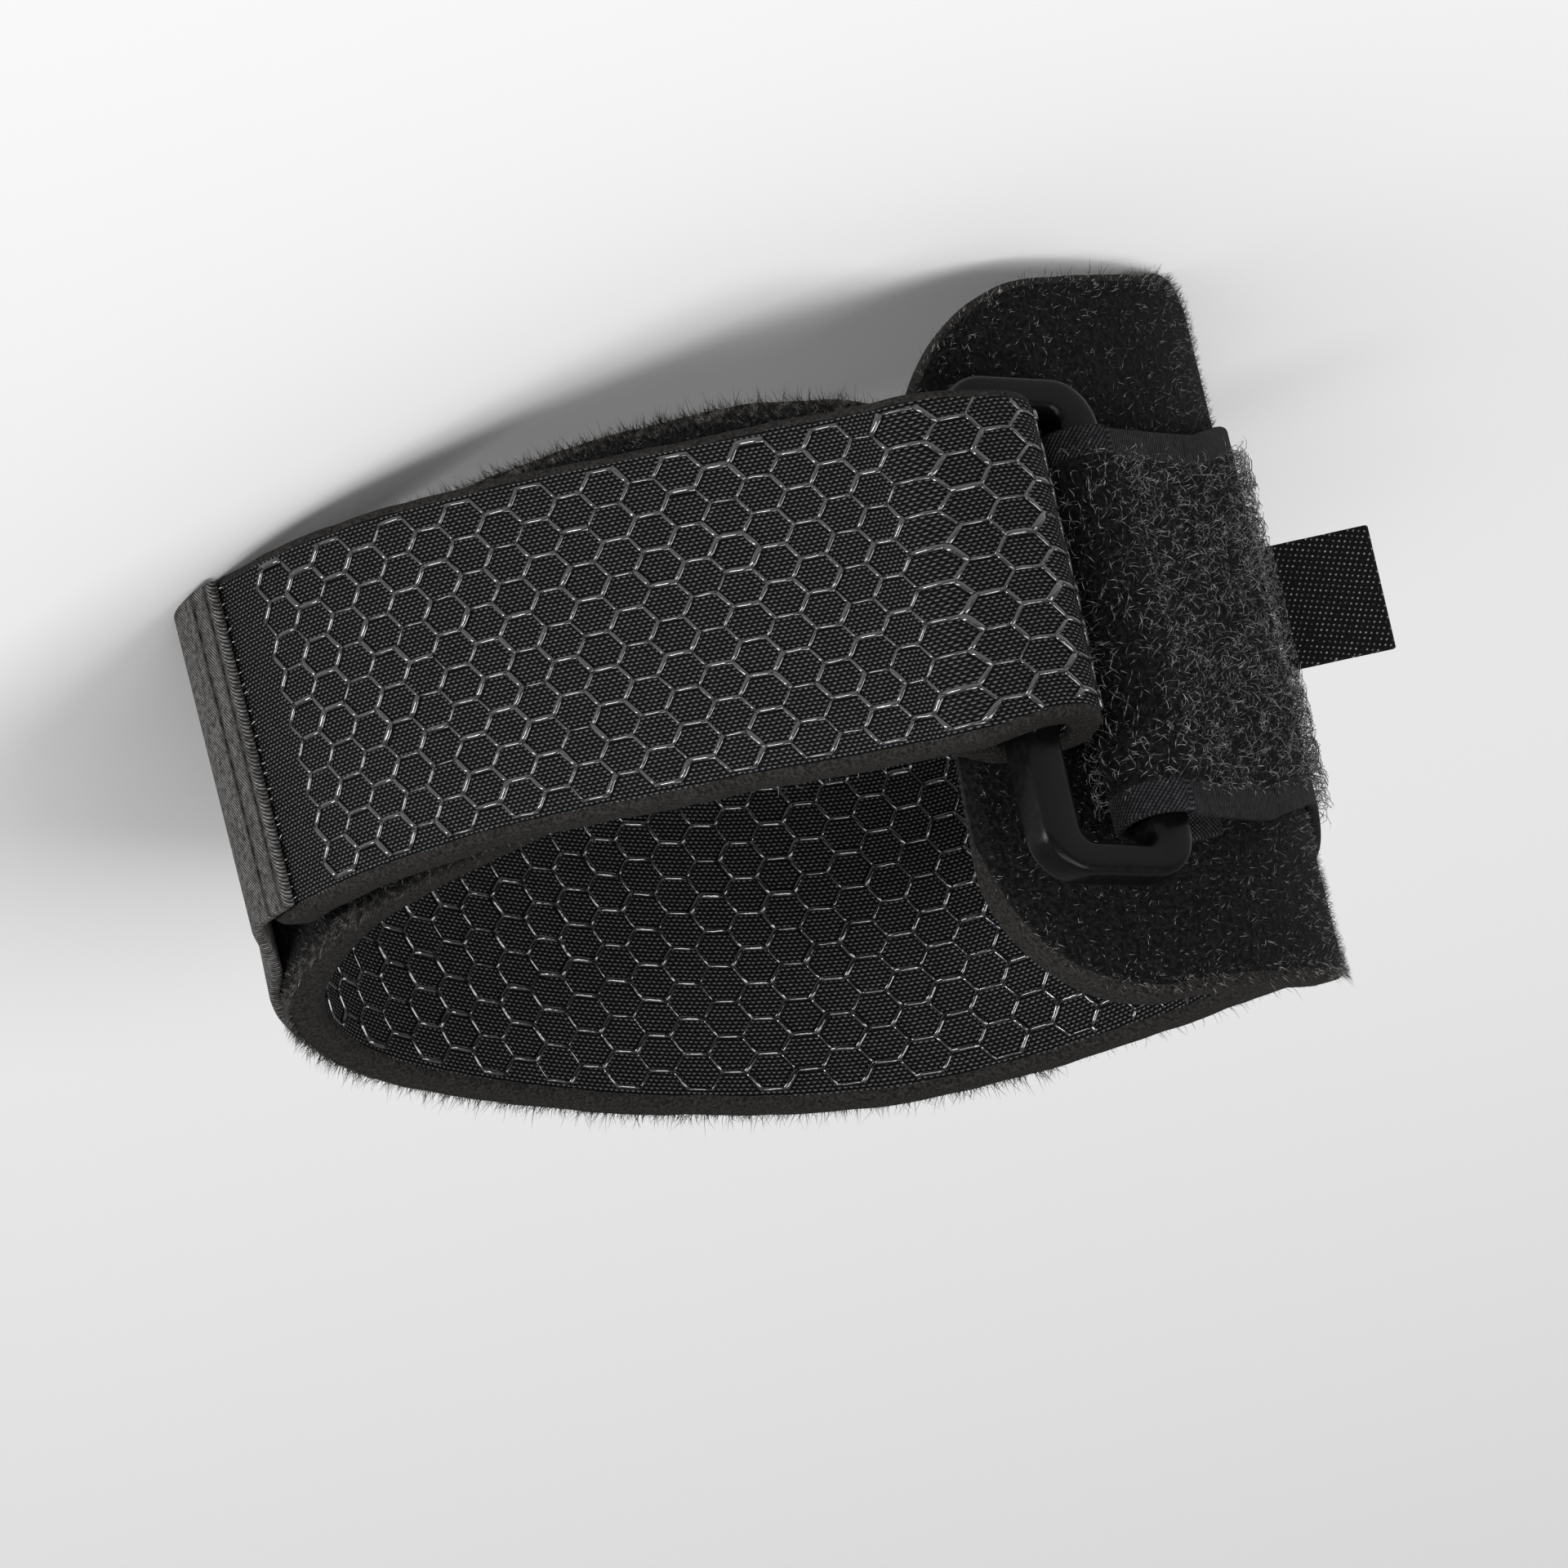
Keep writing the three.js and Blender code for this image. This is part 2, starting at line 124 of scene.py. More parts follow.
@dataclass(frozen=True)
class Rail:
    """A path of upright stations in millimetres: place, half height, lean in degrees."""

    rows: Array

    @property
    def place(self) -> Array:
        """Middle point of each station."""
        return self.rows[:, :3]

    @property
    def half(self) -> Array:
        """Half height of each station."""
        return self.rows[:, 3]

    @property
    def lean(self) -> Array:
        """Lean of each station towards its pile side at the top, in degrees."""
        return self.rows[:, 4]

    @property
    def travel(self) -> Array:
        """Distance in plan from the first station."""
        step = np.hypot(*np.diff(self.rows[:, :2], axis=0).T)
        return np.concatenate([[0.0], np.cumsum(step)])

    @property
    def along(self) -> Array:
        """Plan tangent of each station, from the neighbour before to the one after.

        Returns:
            Unit vectors in plan.
        """
        last = len(self.rows) - 1
        index = np.arange(last + 1)
        ahead = self.rows[np.minimum(index + 1, last), :2]
        behind = self.rows[np.maximum(index - 1, 0), :2]
        return unit(ahead - behind)

    @property
    def normal(self) -> Array:
        """Plan normal on the pile side, a quarter turn to the left of travel."""
        along = self.along
        return np.stack([-along[:, 1], along[:, 0]], axis=1)

    @property
    def length(self) -> float:
        """Distance in plan from the first station to the last."""
        return float(self.travel[-1])

    def refined(self, steps: int) -> "Rail":
        """The same path with steps stations for each gap."""
        return Rail(catmull_rom(self.rows, steps))

    def frames(self, travel: Array) -> tuple[Array, Array, Array, Array, Array]:
        """Place, unit axes and half height at any distances, blended between stations.

        Args:
            travel: distances from the first station.

        Returns:
            Place, direction of travel, normal to the pile side, up direction, half height.
        """
        have = self.travel
        fields = np.column_stack([self.rows, self.normal])
        found = np.stack([np.interp(travel, have, column) for column in fields.T], axis=-1)
        plan = unit(found[..., 5:7])
        zero = np.zeros_like(plan[..., :1])
        normal = np.concatenate([plan, zero], axis=-1)
        along = np.concatenate([plan[..., 1:], -plan[..., :1], zero], axis=-1)
        tilt = np.tan(np.radians(found[..., 4:5]))
        up = unit(normal * tilt + np.array([0.0, 0.0, 1.0]))
        return found[..., :3], along, normal, up, found[..., 3]

    def points(self, travel: Array, height: Array, offset: Array) -> Array:
        """Points at a distance, a height up the section and an offset to the pile side."""
        place, _, normal, up, _ = self.frames(travel)
        return place + normal * offset[..., None] + up * height[..., None]


def seated(rail: Rail, travel: Array, distance: Array, z: Array | None = None) -> Array:
    """Stations of a tape lying at a distance over a leaning strap.

    Args:
        rail: path of the strap.
        travel: distances along the strap.
        distance: distances from the strap's middle to its pile side.
        z: heights of the tape's middle, or the strap's own.

    Returns:
        Rows of x, y, z, half, lean with the strap's half and lean.
    """
    have = rail.travel
    fields = np.column_stack([rail.rows, rail.normal])
    found = np.stack([np.interp(travel, have, column) for column in fields.T], axis=-1)
    z = found[:, 2] if z is None else z
    reach = distance + (z - found[:, 2]) * np.tan(np.radians(found[:, 4]))
    rows = found[:, :5].copy()
    rows[:, :2] += found[:, 5:7] * reach[:, None]
    rows[:, 2] = z
    return rows


# The object's sizes and paths, in millimetres


@dataclass(frozen=True)
class RestPose:
    """The turn and shift that stand the strap on its lowest rims over the origin."""

    tilt: tuple[float, float, float, float] = (0.9987687, -0.0049207, 0.0493647, 0.0000000)
    shift: tuple[float, float, float] = (5.93575, -49.38881, 29.69508)

    def matrix(self) -> Array:
        """Rotation matrix of the unit quaternion w, x, y, z."""
        w, x, y, z = self.tilt
        return np.array(
            [
                [1 - 2 * (y * y + z * z), 2 * (x * y - z * w), 2 * (x * z + y * w)],
                [2 * (x * y + z * w), 1 - 2 * (x * x + z * z), 2 * (y * z - x * w)],
                [2 * (x * z - y * w), 2 * (y * z + x * w), 1 - 2 * (x * x + y * y)],
            ]
        )

    def place(self, points: Array, soft: bool = True) -> Array:
        """Loop-frame millimetres to the row frame's metres, soft points kept over the floor.

        Args:
            points: places in the loop frame.
            soft: whether the floor presses the piece flat.

        Returns:
            Places in the row frame.
        """
        turned = points @ self.matrix().T + np.array(self.shift)
        if soft:
            turned[..., 2] = np.maximum(turned[..., 2], 0)
        return turned * MM


@dataclass(frozen=True)
class Bar:
    """One side bar of the ring: its place and the two plan directions of the ring."""

    place: Array
    across: Array
    normal: Array
    side: int

    def turn(self, radius: float, count: int, over: float) -> Array:
        """Arc in plan round the bar, from under it by way of the slot to an angle over it.

        Args:
            radius: of the arc, from the bar's middle.
            count: stations on the arc.
            over: last angle in degrees.

        Returns:
            Plan places of the stations.
        """
        angle = np.linspace(-math.pi / 2, math.radians(over), count)[:, None]
        out = self.across * np.cos(angle) * self.side + self.normal * np.sin(angle)
        return self.place[:2] + radius * out


@dataclass(frozen=True)
class LoopPlan:
    """Sizes of the whole strap and the paths of its pieces."""

    half_width: float = 48.5
    depth: float = 98.0
    band: float = 33.0
    pad: float = 68.0
    pad_corner: float = 17.0
    band_corner: float = 5.0
    thickness: float = 3.4
    fold_squeeze: float = 0.94
    ring_height: float = 47.6
    ring_width: float = 17.0
    ring_thickness: float = 3.6
    ring_side_bar: float = 4.4
    ring_end_bar: float = 3.1
    ring_yaw: float = 40.0
    ring_tape_width: float = 37.0
    ring_tape_thickness: float = 1.0
    ring_tape_length: float = 56.0
    ring_tape_tuck: float = 9.0
    ring_tape_drop: float = 10.0
    ring_tape_drop_run: float = 0.7
    ring_tape_lap: float = 14.0
    ring_tape_turn: float = 130.0
    ring_tape_settle: float = 24.0
    hook_tape_width: float = 31.5
    hook_tape_thickness: float = 1.1
    hook_tape_overlap: float = 7.6
    hook_tape_length: float = 36.0
    beside_hook: tuple[float, float] = (1 / 3, 0.72)
    gap: float = 0.3
    steps: int = 6
    fold_stations: int = 5
    tape_stations: int = 14
    hook_steps: tuple[float, ...] = (0.26, 0.38, 0.5, 0.62, 0.74, 0.87, 1.0)
    loop_rows: tuple[tuple[float, ...], ...] = (
        (-0.375, 0.136, 0.135, 1, -6),
        (-0.553, 0.177, 0.13, 1, -4),
        (-0.722, 0.229, 0.105, 1, -2),
        (-0.855, 0.306, 0.055, 1, -1),
        (-0.93, 0.408, -0.01, 1, 0),
        (-0.947, 0.531, -0.02, 0.8, 1),
        (-0.915, 0.673, 0, 0.45, 4),
        (-0.8, 0.816, 0.045, 0.17, 8),
        (-0.592, 0.923, 0.06, 0.03, 11),
        (-0.298, 0.98, 0.06, 0, 12),
        (0, 0.964, 0.04, 0, 12),
        (0.298, 0.898, 0.005, 0, 12),
        (0.574, 0.801, -0.045, 0, 12),
        (0.79, 0.697, -0.1, 0, 9),
        (0.897, 0.61, -0.145, 0, 3),
        (0.912, 0.535, -0.18, 0, -1),
        (0.85, 0.46, -0.22, 0, -3),
        (0.72, 0.386, -0.25, 0, -3),
        (0.511, 0.306, -0.25, 0, -2),
        (0.213, 0.191, -0.215, 0, 0),
        (-0.064, 0.1245, -0.165, 0, 0),
        (-0.235, 0.092, -0.1, 0, 0),
        (-0.345, 0.08, -0.04, 0, 0),
    )
    front_rows: tuple[tuple[float, ...], ...] = (
        (-0.43, -0.008, 0.05, 0, 0),
        (-0.33, 0.016, 0.025, 0, 0),
        (-0.2, 0.044, -0.005, 0, 0),
        (0, 0.082, -0.055, 0, 0),
        (0.255, 0.139, -0.12, 0, 0),
        (0.511, 0.212, -0.185, 0, 1),
        (0.723, 0.296, -0.235, 0, 2),
        (0.87, 0.383, -0.27, 0, 2),
        (0.93, 0.444, -0.285, 0, 2),
    )
    fold_bar: tuple[float, float, float] = (-0.504, 0.055, 0.18)

    def stations(self, table: tuple[tuple[float, ...], ...]) -> Array:
        """Rows of x, y, z, half, lean from shares of the named sizes.

        Args:
            table: rows of across, back, rise, broad, lean.

        Returns:
            The rows in millimetres.
        """
        rows = np.array(table, float)
        rows[:, 0] *= self.half_width
        rows[:, 1] *= self.depth
        rows[:, 2] *= self.band
        rows[:, 3] = mixed(self.band, self.pad, rows[:, 3]) / 2
        return rows

    @property
    def bar_reach(self) -> float:
        """Half the diagonal of a side bar's section."""
        return math.hypot(self.ring_side_bar, self.ring_thickness) / 2

    def fold_side(self) -> Bar:
        """The bar that the strap folds over.

        Returns:
            The bar, with its turning side towards the slot.
        """
        turn = math.radians(self.ring_yaw)
        across = np.array([-math.cos(turn), math.sin(turn)])
        place = np.array(self.fold_bar) * (self.half_width, self.depth, self.band)
        return Bar(place, across, np.array([-across[1], across[0]]), 1)

    def tape_side(self) -> Bar:
        """The bar that the ring's own tape goes round.

        Returns:
            The bar across the slot from the first.
        """
        fold = self.fold_side()
        span = self.ring_width - self.ring_side_bar
        place = fold.place + np.append(fold.across * span, 0)
        return Bar(place, fold.across, fold.normal, -1)

    def strap(self) -> Rail:
        """Loop rows, the fold round the ring's bar, and the front layer.

        Returns:
            The laminate's whole path.
        """
        bar = self.fold_side()
        half = self.band * self.fold_squeeze / 2
        slot_end = bar.place[2] - self.ring_height / 2 + self.ring_end_bar
        plan = bar.turn(self.bar_reach + self.gap + self.thickness / 2, self.fold_stations, 90)
        fold = np.column_stack([plan, np.tile([slot_end + self.gap + half, half, 0], (len(plan), 1))])
        rows = np.concatenate([self.stations(self.loop_rows), fold, self.stations(self.front_rows)])
        return Rail(catmull_rom(rows, self.steps))

    def nearest(self, rail: Rail, place: Array, low: float, high: float) -> float:
        """Travel of the station nearest to a place, between two distances.

        Args:
            rail: path that is searched.
            place: the place.
            low: least distance along the path.
            high: greatest distance.

        Returns:
            The station's distance along the path.
        """
        travel = rail.travel
        away = np.hypot(*(rail.place[:, :2] - place[:2]).T)
        away[(travel < low) | (travel > high)] = np.inf
        return float(travel[np.argmin(away)])

    def ring_tape(self) -> Rail:
        """Short leg under the tape bar, the turn, and a long leg over the pad.

        Returns:
            The tape's whole path.
        """
        path, bar = self.strap(), self.tape_side()
        low = self.thickness / 2 + self.gap + self.ring_tape_thickness / 2
        high = low + self.ring_tape_thickness + self.gap
        start = self.nearest(path, bar.place, 0, self.depth)
        drop_end = self.ring_tape_length * self.ring_tape_drop_run
        tuck = self.ring_tape_tuck

        def on_pad(run: Array, distance: Array) -> Array:
            """Stations over the pad at runs from the bar, lower the further they are."""
            z = bar.place[2] - self.ring_tape_drop * smooth_step(run, 0, drop_end)
            return seated(path, start + run, distance, z)

        under = on_pad(np.array([tuck, tuck / 2]), np.full(2, low))
        under[:, 4] *= -1
        radius = self.bar_reach + self.gap + self.ring_tape_thickness / 2
        plan = bar.turn(radius, self.fold_stations + 2, self.ring_tape_turn)
        turn = np.column_stack([plan, np.tile([bar.place[2], 0, 0], (len(plan), 1))])
        run = np.linspace(self.ring_tape_lap, self.ring_tape_length, self.tape_stations + 1)
        over = on_pad(run, mixed(high, low, smooth_step(run, tuck, self.ring_tape_settle)))
        rows = np.concatenate([under, turn, over])
        rows[:, 3] = self.ring_tape_width / 2
        return Rail(catmull_rom(rows, self.steps))

    def hook_tape(self) -> Rail:
        """Over the front layer's end, then round the bend onto the loop's pile.

        Returns:
            The tape's whole path.
        """
        path = self.strap()
        lift = self.thickness / 2 + self.gap + self.hook_tape_thickness / 2
        share = np.array([1, 0.5, 0])
        front = seated(path, path.length - share * self.hook_tape_overlap, np.full(3, -lift))
        end = path.place[-1]
        low, high = (share * path.length for share in self.beside_hook)
        beside = self.nearest(path, end, low, high)
        reach = self.hook_tape_length - self.hook_tape_overlap
        steps = np.array(self.hook_steps)
        under = np.interp(beside - steps * reach, path.travel, path.place[:, 2])
        level = mixed(end[2], under, np.sqrt(steps))
        loop = seated(path, beside - steps * reach, np.full(len(steps), lift), level)
        loop[:, 4] *= -1
        bridge = (front[-1:] + loop[:1]) / 2
        rows = np.concatenate([front, bridge, loop])
        rows[:, 3] = self.hook_tape_width / 2
        return Rail(catmull_rom(rows, self.steps))


# Mesh making


def signed_volume(points: Array, triangles: Array) -> float:
    """Sum over the triangles of a . (b x c) / 6."""
    a, b, c = (points[triangles[:, i]] for i in range(3))
    return float(np.einsum("ij,ij->i", a, np.cross(b, c)).sum() / 6)


def build(
    name: str,
    points: Array,
    quads: Array,
    caps: list[Array] | None = None,
    uv: Array | None = None,
    zones: Array | None = None,
    smooth: bool = True,
) -> bpy.types.Object:
    """Puts a closed mesh of quads or triangles into the scene, faces outwards.

    Args:
        name: the piece's name.
        points: vertices in metres, in the row frame.
        quads: faces of three or four corners each.
        caps: end faces of more corners.
        uv: a UV place for each vertex.
        zones: a material slot for each of the quads.
        smooth: smooth shading.

    Returns:
        The new object, at the origin.
    """
    corners = quads[:, [0, 1, 2]]
    rest = quads[:, [0, 2, 3]] if quads.shape[1] == 4 else np.empty((0, 3), int)
    inward = signed_volume(points, np.concatenate([corners, rest])) < 0
    faces = quads[:, ::-1] if inward else quads
    ends = [cap[::-1] if inward else cap for cap in (caps or [])]
    loops = np.concatenate([faces.ravel(), *ends]) if ends else faces.ravel()
    sizes = np.concatenate([np.full(len(faces), faces.shape[1]), [len(e) for e in ends]])
    mesh = bpy.data.meshes.new(name)
    mesh.vertices.add(len(points))
    mesh.vertices.foreach_set("co", np.ascontiguousarray(points, np.float32).ravel())
    mesh.loops.add(len(loops))
    mesh.loops.foreach_set("vertex_index", loops.astype(np.int32))
    mesh.polygons.add(len(sizes))
    starts = np.concatenate([[0], np.cumsum(sizes)[:-1]]).astype(np.int32)
    mesh.polygons.foreach_set("loop_start", starts)
    mesh.polygons.foreach_set("use_smooth", np.full(len(sizes), smooth))
    if zones is not None:
        slots = np.concatenate([zones, np.full(len(ends), Zone.EDGE.value)]).astype(np.int32)
        mesh.polygons.foreach_set("material_index", slots)
    if uv is not None:
        layer = mesh.uv_layers.new(name="cloth")
        layer.data.foreach_set("uv", uv[loops].astype(np.float32).ravel())
    mesh.update(calc_edges=True)
    mesh.validate()
    piece = bpy.data.objects.new(name, mesh)
    bpy.context.scene.collection.objects.link(piece)
    return piece


@dataclass(frozen=True)
class Strip:
    """A flat section with eased edges carried along a rail, in millimetres."""

    rail: Rail
    thickness: float
    ease: float
    face_cells: int = 12
    ease_cells: int = 4
    start_corner: float = 0.0
    end_corner: float = 0.0
    end_taper: float = 0.0
    wobble: float = 0.0
    swell: float = 0.0
    rim: float = 0.0
    seed: int = 1

    def section(self) -> tuple[Array, Array, Array, Array]:
        """One closed turn round the section, from the inner face by way of the lower edge.

        Returns:
            Face sign with the pull back from that face in ease radii, side from -1 to 1,
            inset from the side in ease radii, and the zone of each cell.
        """
        face = np.linspace(1, -1, self.face_cells + 1)
        quarter = np.linspace(0, np.pi / 2, self.ease_cells + 1)[1:-1]
        one = np.ones(len(quarter))
        ones = np.ones(len(face))
        none = np.zeros(len(face))
        offset = [-ones, -one, np.array([-1.0, 1.0]), one, ones, one, np.array([1.0, -1.0]), -one]
        back = [none, 1 - np.cos(quarter), np.ones(2), 1 - np.cos(quarter)[::-1]] * 2
        side = [face, -one, -np.ones(2), -one, -face, one, np.ones(2), one]
        inset = [np.ones(len(face)), 1 - np.sin(quarter), np.zeros(2), (1 - np.sin(quarter))[::-1]] * 2
        counts = [len(part) for part in offset]
        zone = np.repeat([0, 1, 1, 1, 2, 1, 1, 1], counts)
        zone[counts[0] - 1] = Zone.EDGE.value
        zone[sum(counts[:5]) - 1] = Zone.EDGE.value
        outer = np.abs((-face[1:] - face[:-1]) / 2) > 1 - self.rim
        zone[sum(counts[:4]) : sum(counts[:5]) - 1][outer] = Zone.EDGE.value
        turn = np.stack([np.concatenate(offset), np.concatenate(back)], axis=1)
        return turn, np.concatenate(side), np.concatenate(inset), zone

    def half_at(self, travel: Array, half: Array) -> Array:
        """Half height where the free ends' corners are round: r less the circle's fall.

        Args:
            travel: distances along the strip.
            half: half heights without the round corners.

        Returns:
            The half heights.
        """
        result = half.copy()
        for radius, left in (
            (self.start_corner, travel),
            (self.end_corner, self.rail.length - travel),
        ):
            if radius > 0:
                inside = np.clip(radius - left, 0, radius)
                result = result - radius + np.sqrt(np.maximum(radius**2 - inside**2, 0))
        return result

    def travels(self) -> Array:
        """Distances of the stations, closer together at tapered ends.

        Returns:
            Distances from the first station.
        """
        have = self.rail.travel
        if self.end_taper <= 0:
            return have
        turn = 1 - np.cos(np.linspace(0, np.pi / 2, 6))
        near = self.end_taper * turn
        inner = have[(have > self.end_taper * 1.2) & (have < self.rail.length - self.end_taper * 1.2)]
        return np.concatenate([near, inner, self.rail.length - near[::-1]])

    def wave(self, travel: Array, which: Wave) -> Array:
        """Slow unevenness: five sines of falling size with seeded phases.

        Args:
            travel: distances along the strip.
            which: the wave that is wanted.

        Returns:
            Values from -1 to 1.
        """
        rng = np.random.default_rng(self.seed + which.value)
        pitch = np.array([41.0, 23.0, 13.0, 7.0, 3.9])
        size = np.array([1.0, 0.8, 0.5, 0.35, 0.2])
        shift = rng.uniform(0, 2 * np.pi, 5)
        waves = size * np.sin(travel[:, None] * 2 * np.pi / pitch + shift)
        return waves.sum(axis=1) / size.sum()

    def thickness_share(self, travel: Array) -> Array:
        """Share of the thickness near the two ends, a quarter circle.

        Args:
            travel: distances along the strip.

        Returns:
            Shares from near 0 to 1.
        """
        if self.end_taper <= 0:
            return np.ones_like(travel)
        left = np.minimum(travel, self.rail.length - travel)
        inside = 1 - np.clip(left / self.end_taper, 0, 1)
        return np.sqrt(np.maximum(1 - inside**2, 0.02))

    def grid(self) -> tuple[Array, Array, Array]:
        """Points, UV in millimetres and zones of the strip.

        Returns:
            Points as stations by section, UV likewise, and a zone for each section cell.
        """
        turn, side, inset, zone = self.section()
        travel = self.travels()
        _, _, _, _, half = self.rail.frames(travel)
        half = self.half_at(travel, half)
        low = half + self.wobble * self.wave(travel, Wave.LOWER_EDGE)
        high = half + self.wobble * self.wave(travel, Wave.UPPER_EDGE)
        reach = np.where(side[None, :] > 0, high[:, None], low[:, None])
        height = side[None, :] * reach - np.sign(side)[None, :] * inset * self.ease
        height = np.where(np.abs(side)[None, :] < 1, side[None, :] * (reach - self.ease), height)
        share = self.thickness_share(travel)[:, None]
        offset = turn[:, 0] * (self.thickness / 2 - turn[:, 1] * self.ease)
        crown = self.swell * (1 - side**2) * np.sign(turn[:, 0]) * (np.abs(side) < 1)
        bulge = crown[None, :] * (SWELL_EVEN + SWELL_WAVE * self.wave(travel, Wave.SWELL)[:, None])
        points = self.rail.points(
            np.broadcast_to(travel[:, None], height.shape), height, (offset[None, :] + bulge) * share
        )
        uv = np.stack([np.broadcast_to(travel[:, None], height.shape), height], axis=-1)
        return points, uv, zone

    def mesh(self, name: str, pose: RestPose) -> bpy.types.Object:
        """The strip as a closed piece in the row frame.

        Args:
            name: the piece's name.
            pose: how the strap stands.

        Returns:
            The piece.
        """
        points, uv, zone = self.grid()
        rows, columns = points.shape[:2]
        index = np.arange(rows * columns).reshape(rows, columns)
        beside = np.roll(index, -1, axis=1)
        quads = np.stack([index[:-1], beside[:-1], beside[1:], index[1:]], axis=-1)
        zones = np.broadcast_to(zone, quads.shape[:2]).ravel()
        return build(
            name,
            pose.place(points.reshape(-1, 3)),
            quads.reshape(-1, 4),
            caps=[index[0][::-1], index[-1]],
            uv=uv.reshape(-1, 2),
            zones=zones,
        )


def tubes(paths: Array, radius: Array, sides: int = 3) -> tuple[Array, Array]:
    """Closed tapering tubes along many short paths at once.

    Each ring of a tube is its path point plus radius times a circle square to the tube's
    chord. The last path point is the tip, and the root is closed by a middle point.

    Args:
        paths: tubes by points by 3.
        radius: tubes by points less one, the radius at each ring.
        sides: corners of each ring.

    Returns:
        Vertices and triangles.
    """
    count, length = paths.shape[:2]
    chord = unit(paths[:, -1] - paths[:, 0])
    helper = np.where(np.abs(chord[:, 2:]) < 0.9, [[0.0, 0.0, 1.0]], [[1.0, 0.0, 0.0]])
    first = unit(np.cross(chord, helper))
    second = np.cross(chord, first)
    angle = np.arange(sides) * 2 * np.pi / sides
    circle = first[:, None] * np.cos(angle)[:, None] + second[:, None] * np.sin(angle)[:, None]
    rings = paths[:, :-1, None] + radius[:, :, None, None] * circle[:, None]
    vertices = np.concatenate(
        [rings.reshape(count, -1, 3), paths[:, -1:], paths[:, :1]], axis=1
    )
    ring = np.arange(sides)
    beside = (ring + 1) % sides
    cells = []
    for step in range(length - 2):
        low, high = step * sides, (step + 1) * sides
        cells.append(np.stack([low + ring, low + beside, high + beside], axis=1))
        cells.append(np.stack([low + ring, high + beside, high + ring], axis=1))
    last = (length - 2) * sides
    tip, root = (length - 1) * sides, (length - 1) * sides + 1
    cells.append(np.stack([last + ring, last + beside, np.full(sides, tip)], axis=1))
    cells.append(np.stack([beside, ring, np.full(sides, root)], axis=1))
    pattern = np.concatenate(cells)
    per = vertices.shape[1]
    triangles = pattern[None] + (np.arange(count) * per)[:, None, None]
    return vertices.reshape(-1, 3), triangles.reshape(-1, 3)


@dataclass(frozen=True)
class Pile:
    """Seeded fibres standing on one face of a rail."""

    rail: Rail
    count: int
    base: float
    length: tuple[float, float]
    radius: float
    lean: float
    curl: float
    points: int = 3
    seed: int = 11

    def fibres(self, travel: Array, height: Array, splay: Array) -> Array:
        """Paths of curved fibres rooted at places on the face.

        A fibre is root + length (s out + lean side + curl s^2 turned side), with s from 0 to 1.

        Args:
            travel: distance of each root.
            height: height of each root.
            splay: extra lean up or down the section, for roots at an edge.

        Returns:
            Fibres by points by 3, in the loop frame.
        """
        rng = np.random.default_rng(self.seed)
        count = len(travel)
        place, along, normal, up, _ = self.rail.frames(travel)
        root = place + normal * self.base + up * height[:, None]
        angle = rng.uniform(0, 2 * np.pi, count)
        amount = self.lean * np.sqrt(rng.uniform(0, 1, count))
        side = along * np.cos(angle)[:, None] + up * np.sin(angle)[:, None]
        lean = side * amount[:, None] + up * splay[:, None]
        other = rng.uniform(0, 2 * np.pi, count)
        bend = along * np.cos(other)[:, None] + up * np.sin(other)[:, None]
        long = rng.uniform(*self.length, count)[:, None, None]
        s = np.linspace(0, 1, self.points)[None, :, None]
        rise = normal[:, None] * (s - 0.35 * self.curl * s**2)
        run = rise + lean[:, None] * s + bend[:, None] * self.curl * s**2
        return root[:, None] + long * run

    def mesh(self, name: str, roots: tuple[Array, Array, Array], pose: RestPose) -> bpy.types.Object:
        """The fibres as one closed mesh.

        Args:
            name: the piece's name.
            roots: travel, height and splay of each root.
            pose: how the strap stands.

        Returns:
            The piece.
        """
        paths = self.fibres(*roots)
        taper = np.linspace(1, 0.55, self.points - 1)
        radius = self.radius * taper * np.ones((len(paths), 1))
        vertices, triangles = tubes(paths, radius)
        return build(name, pose.place(vertices), triangles)


# Finishes


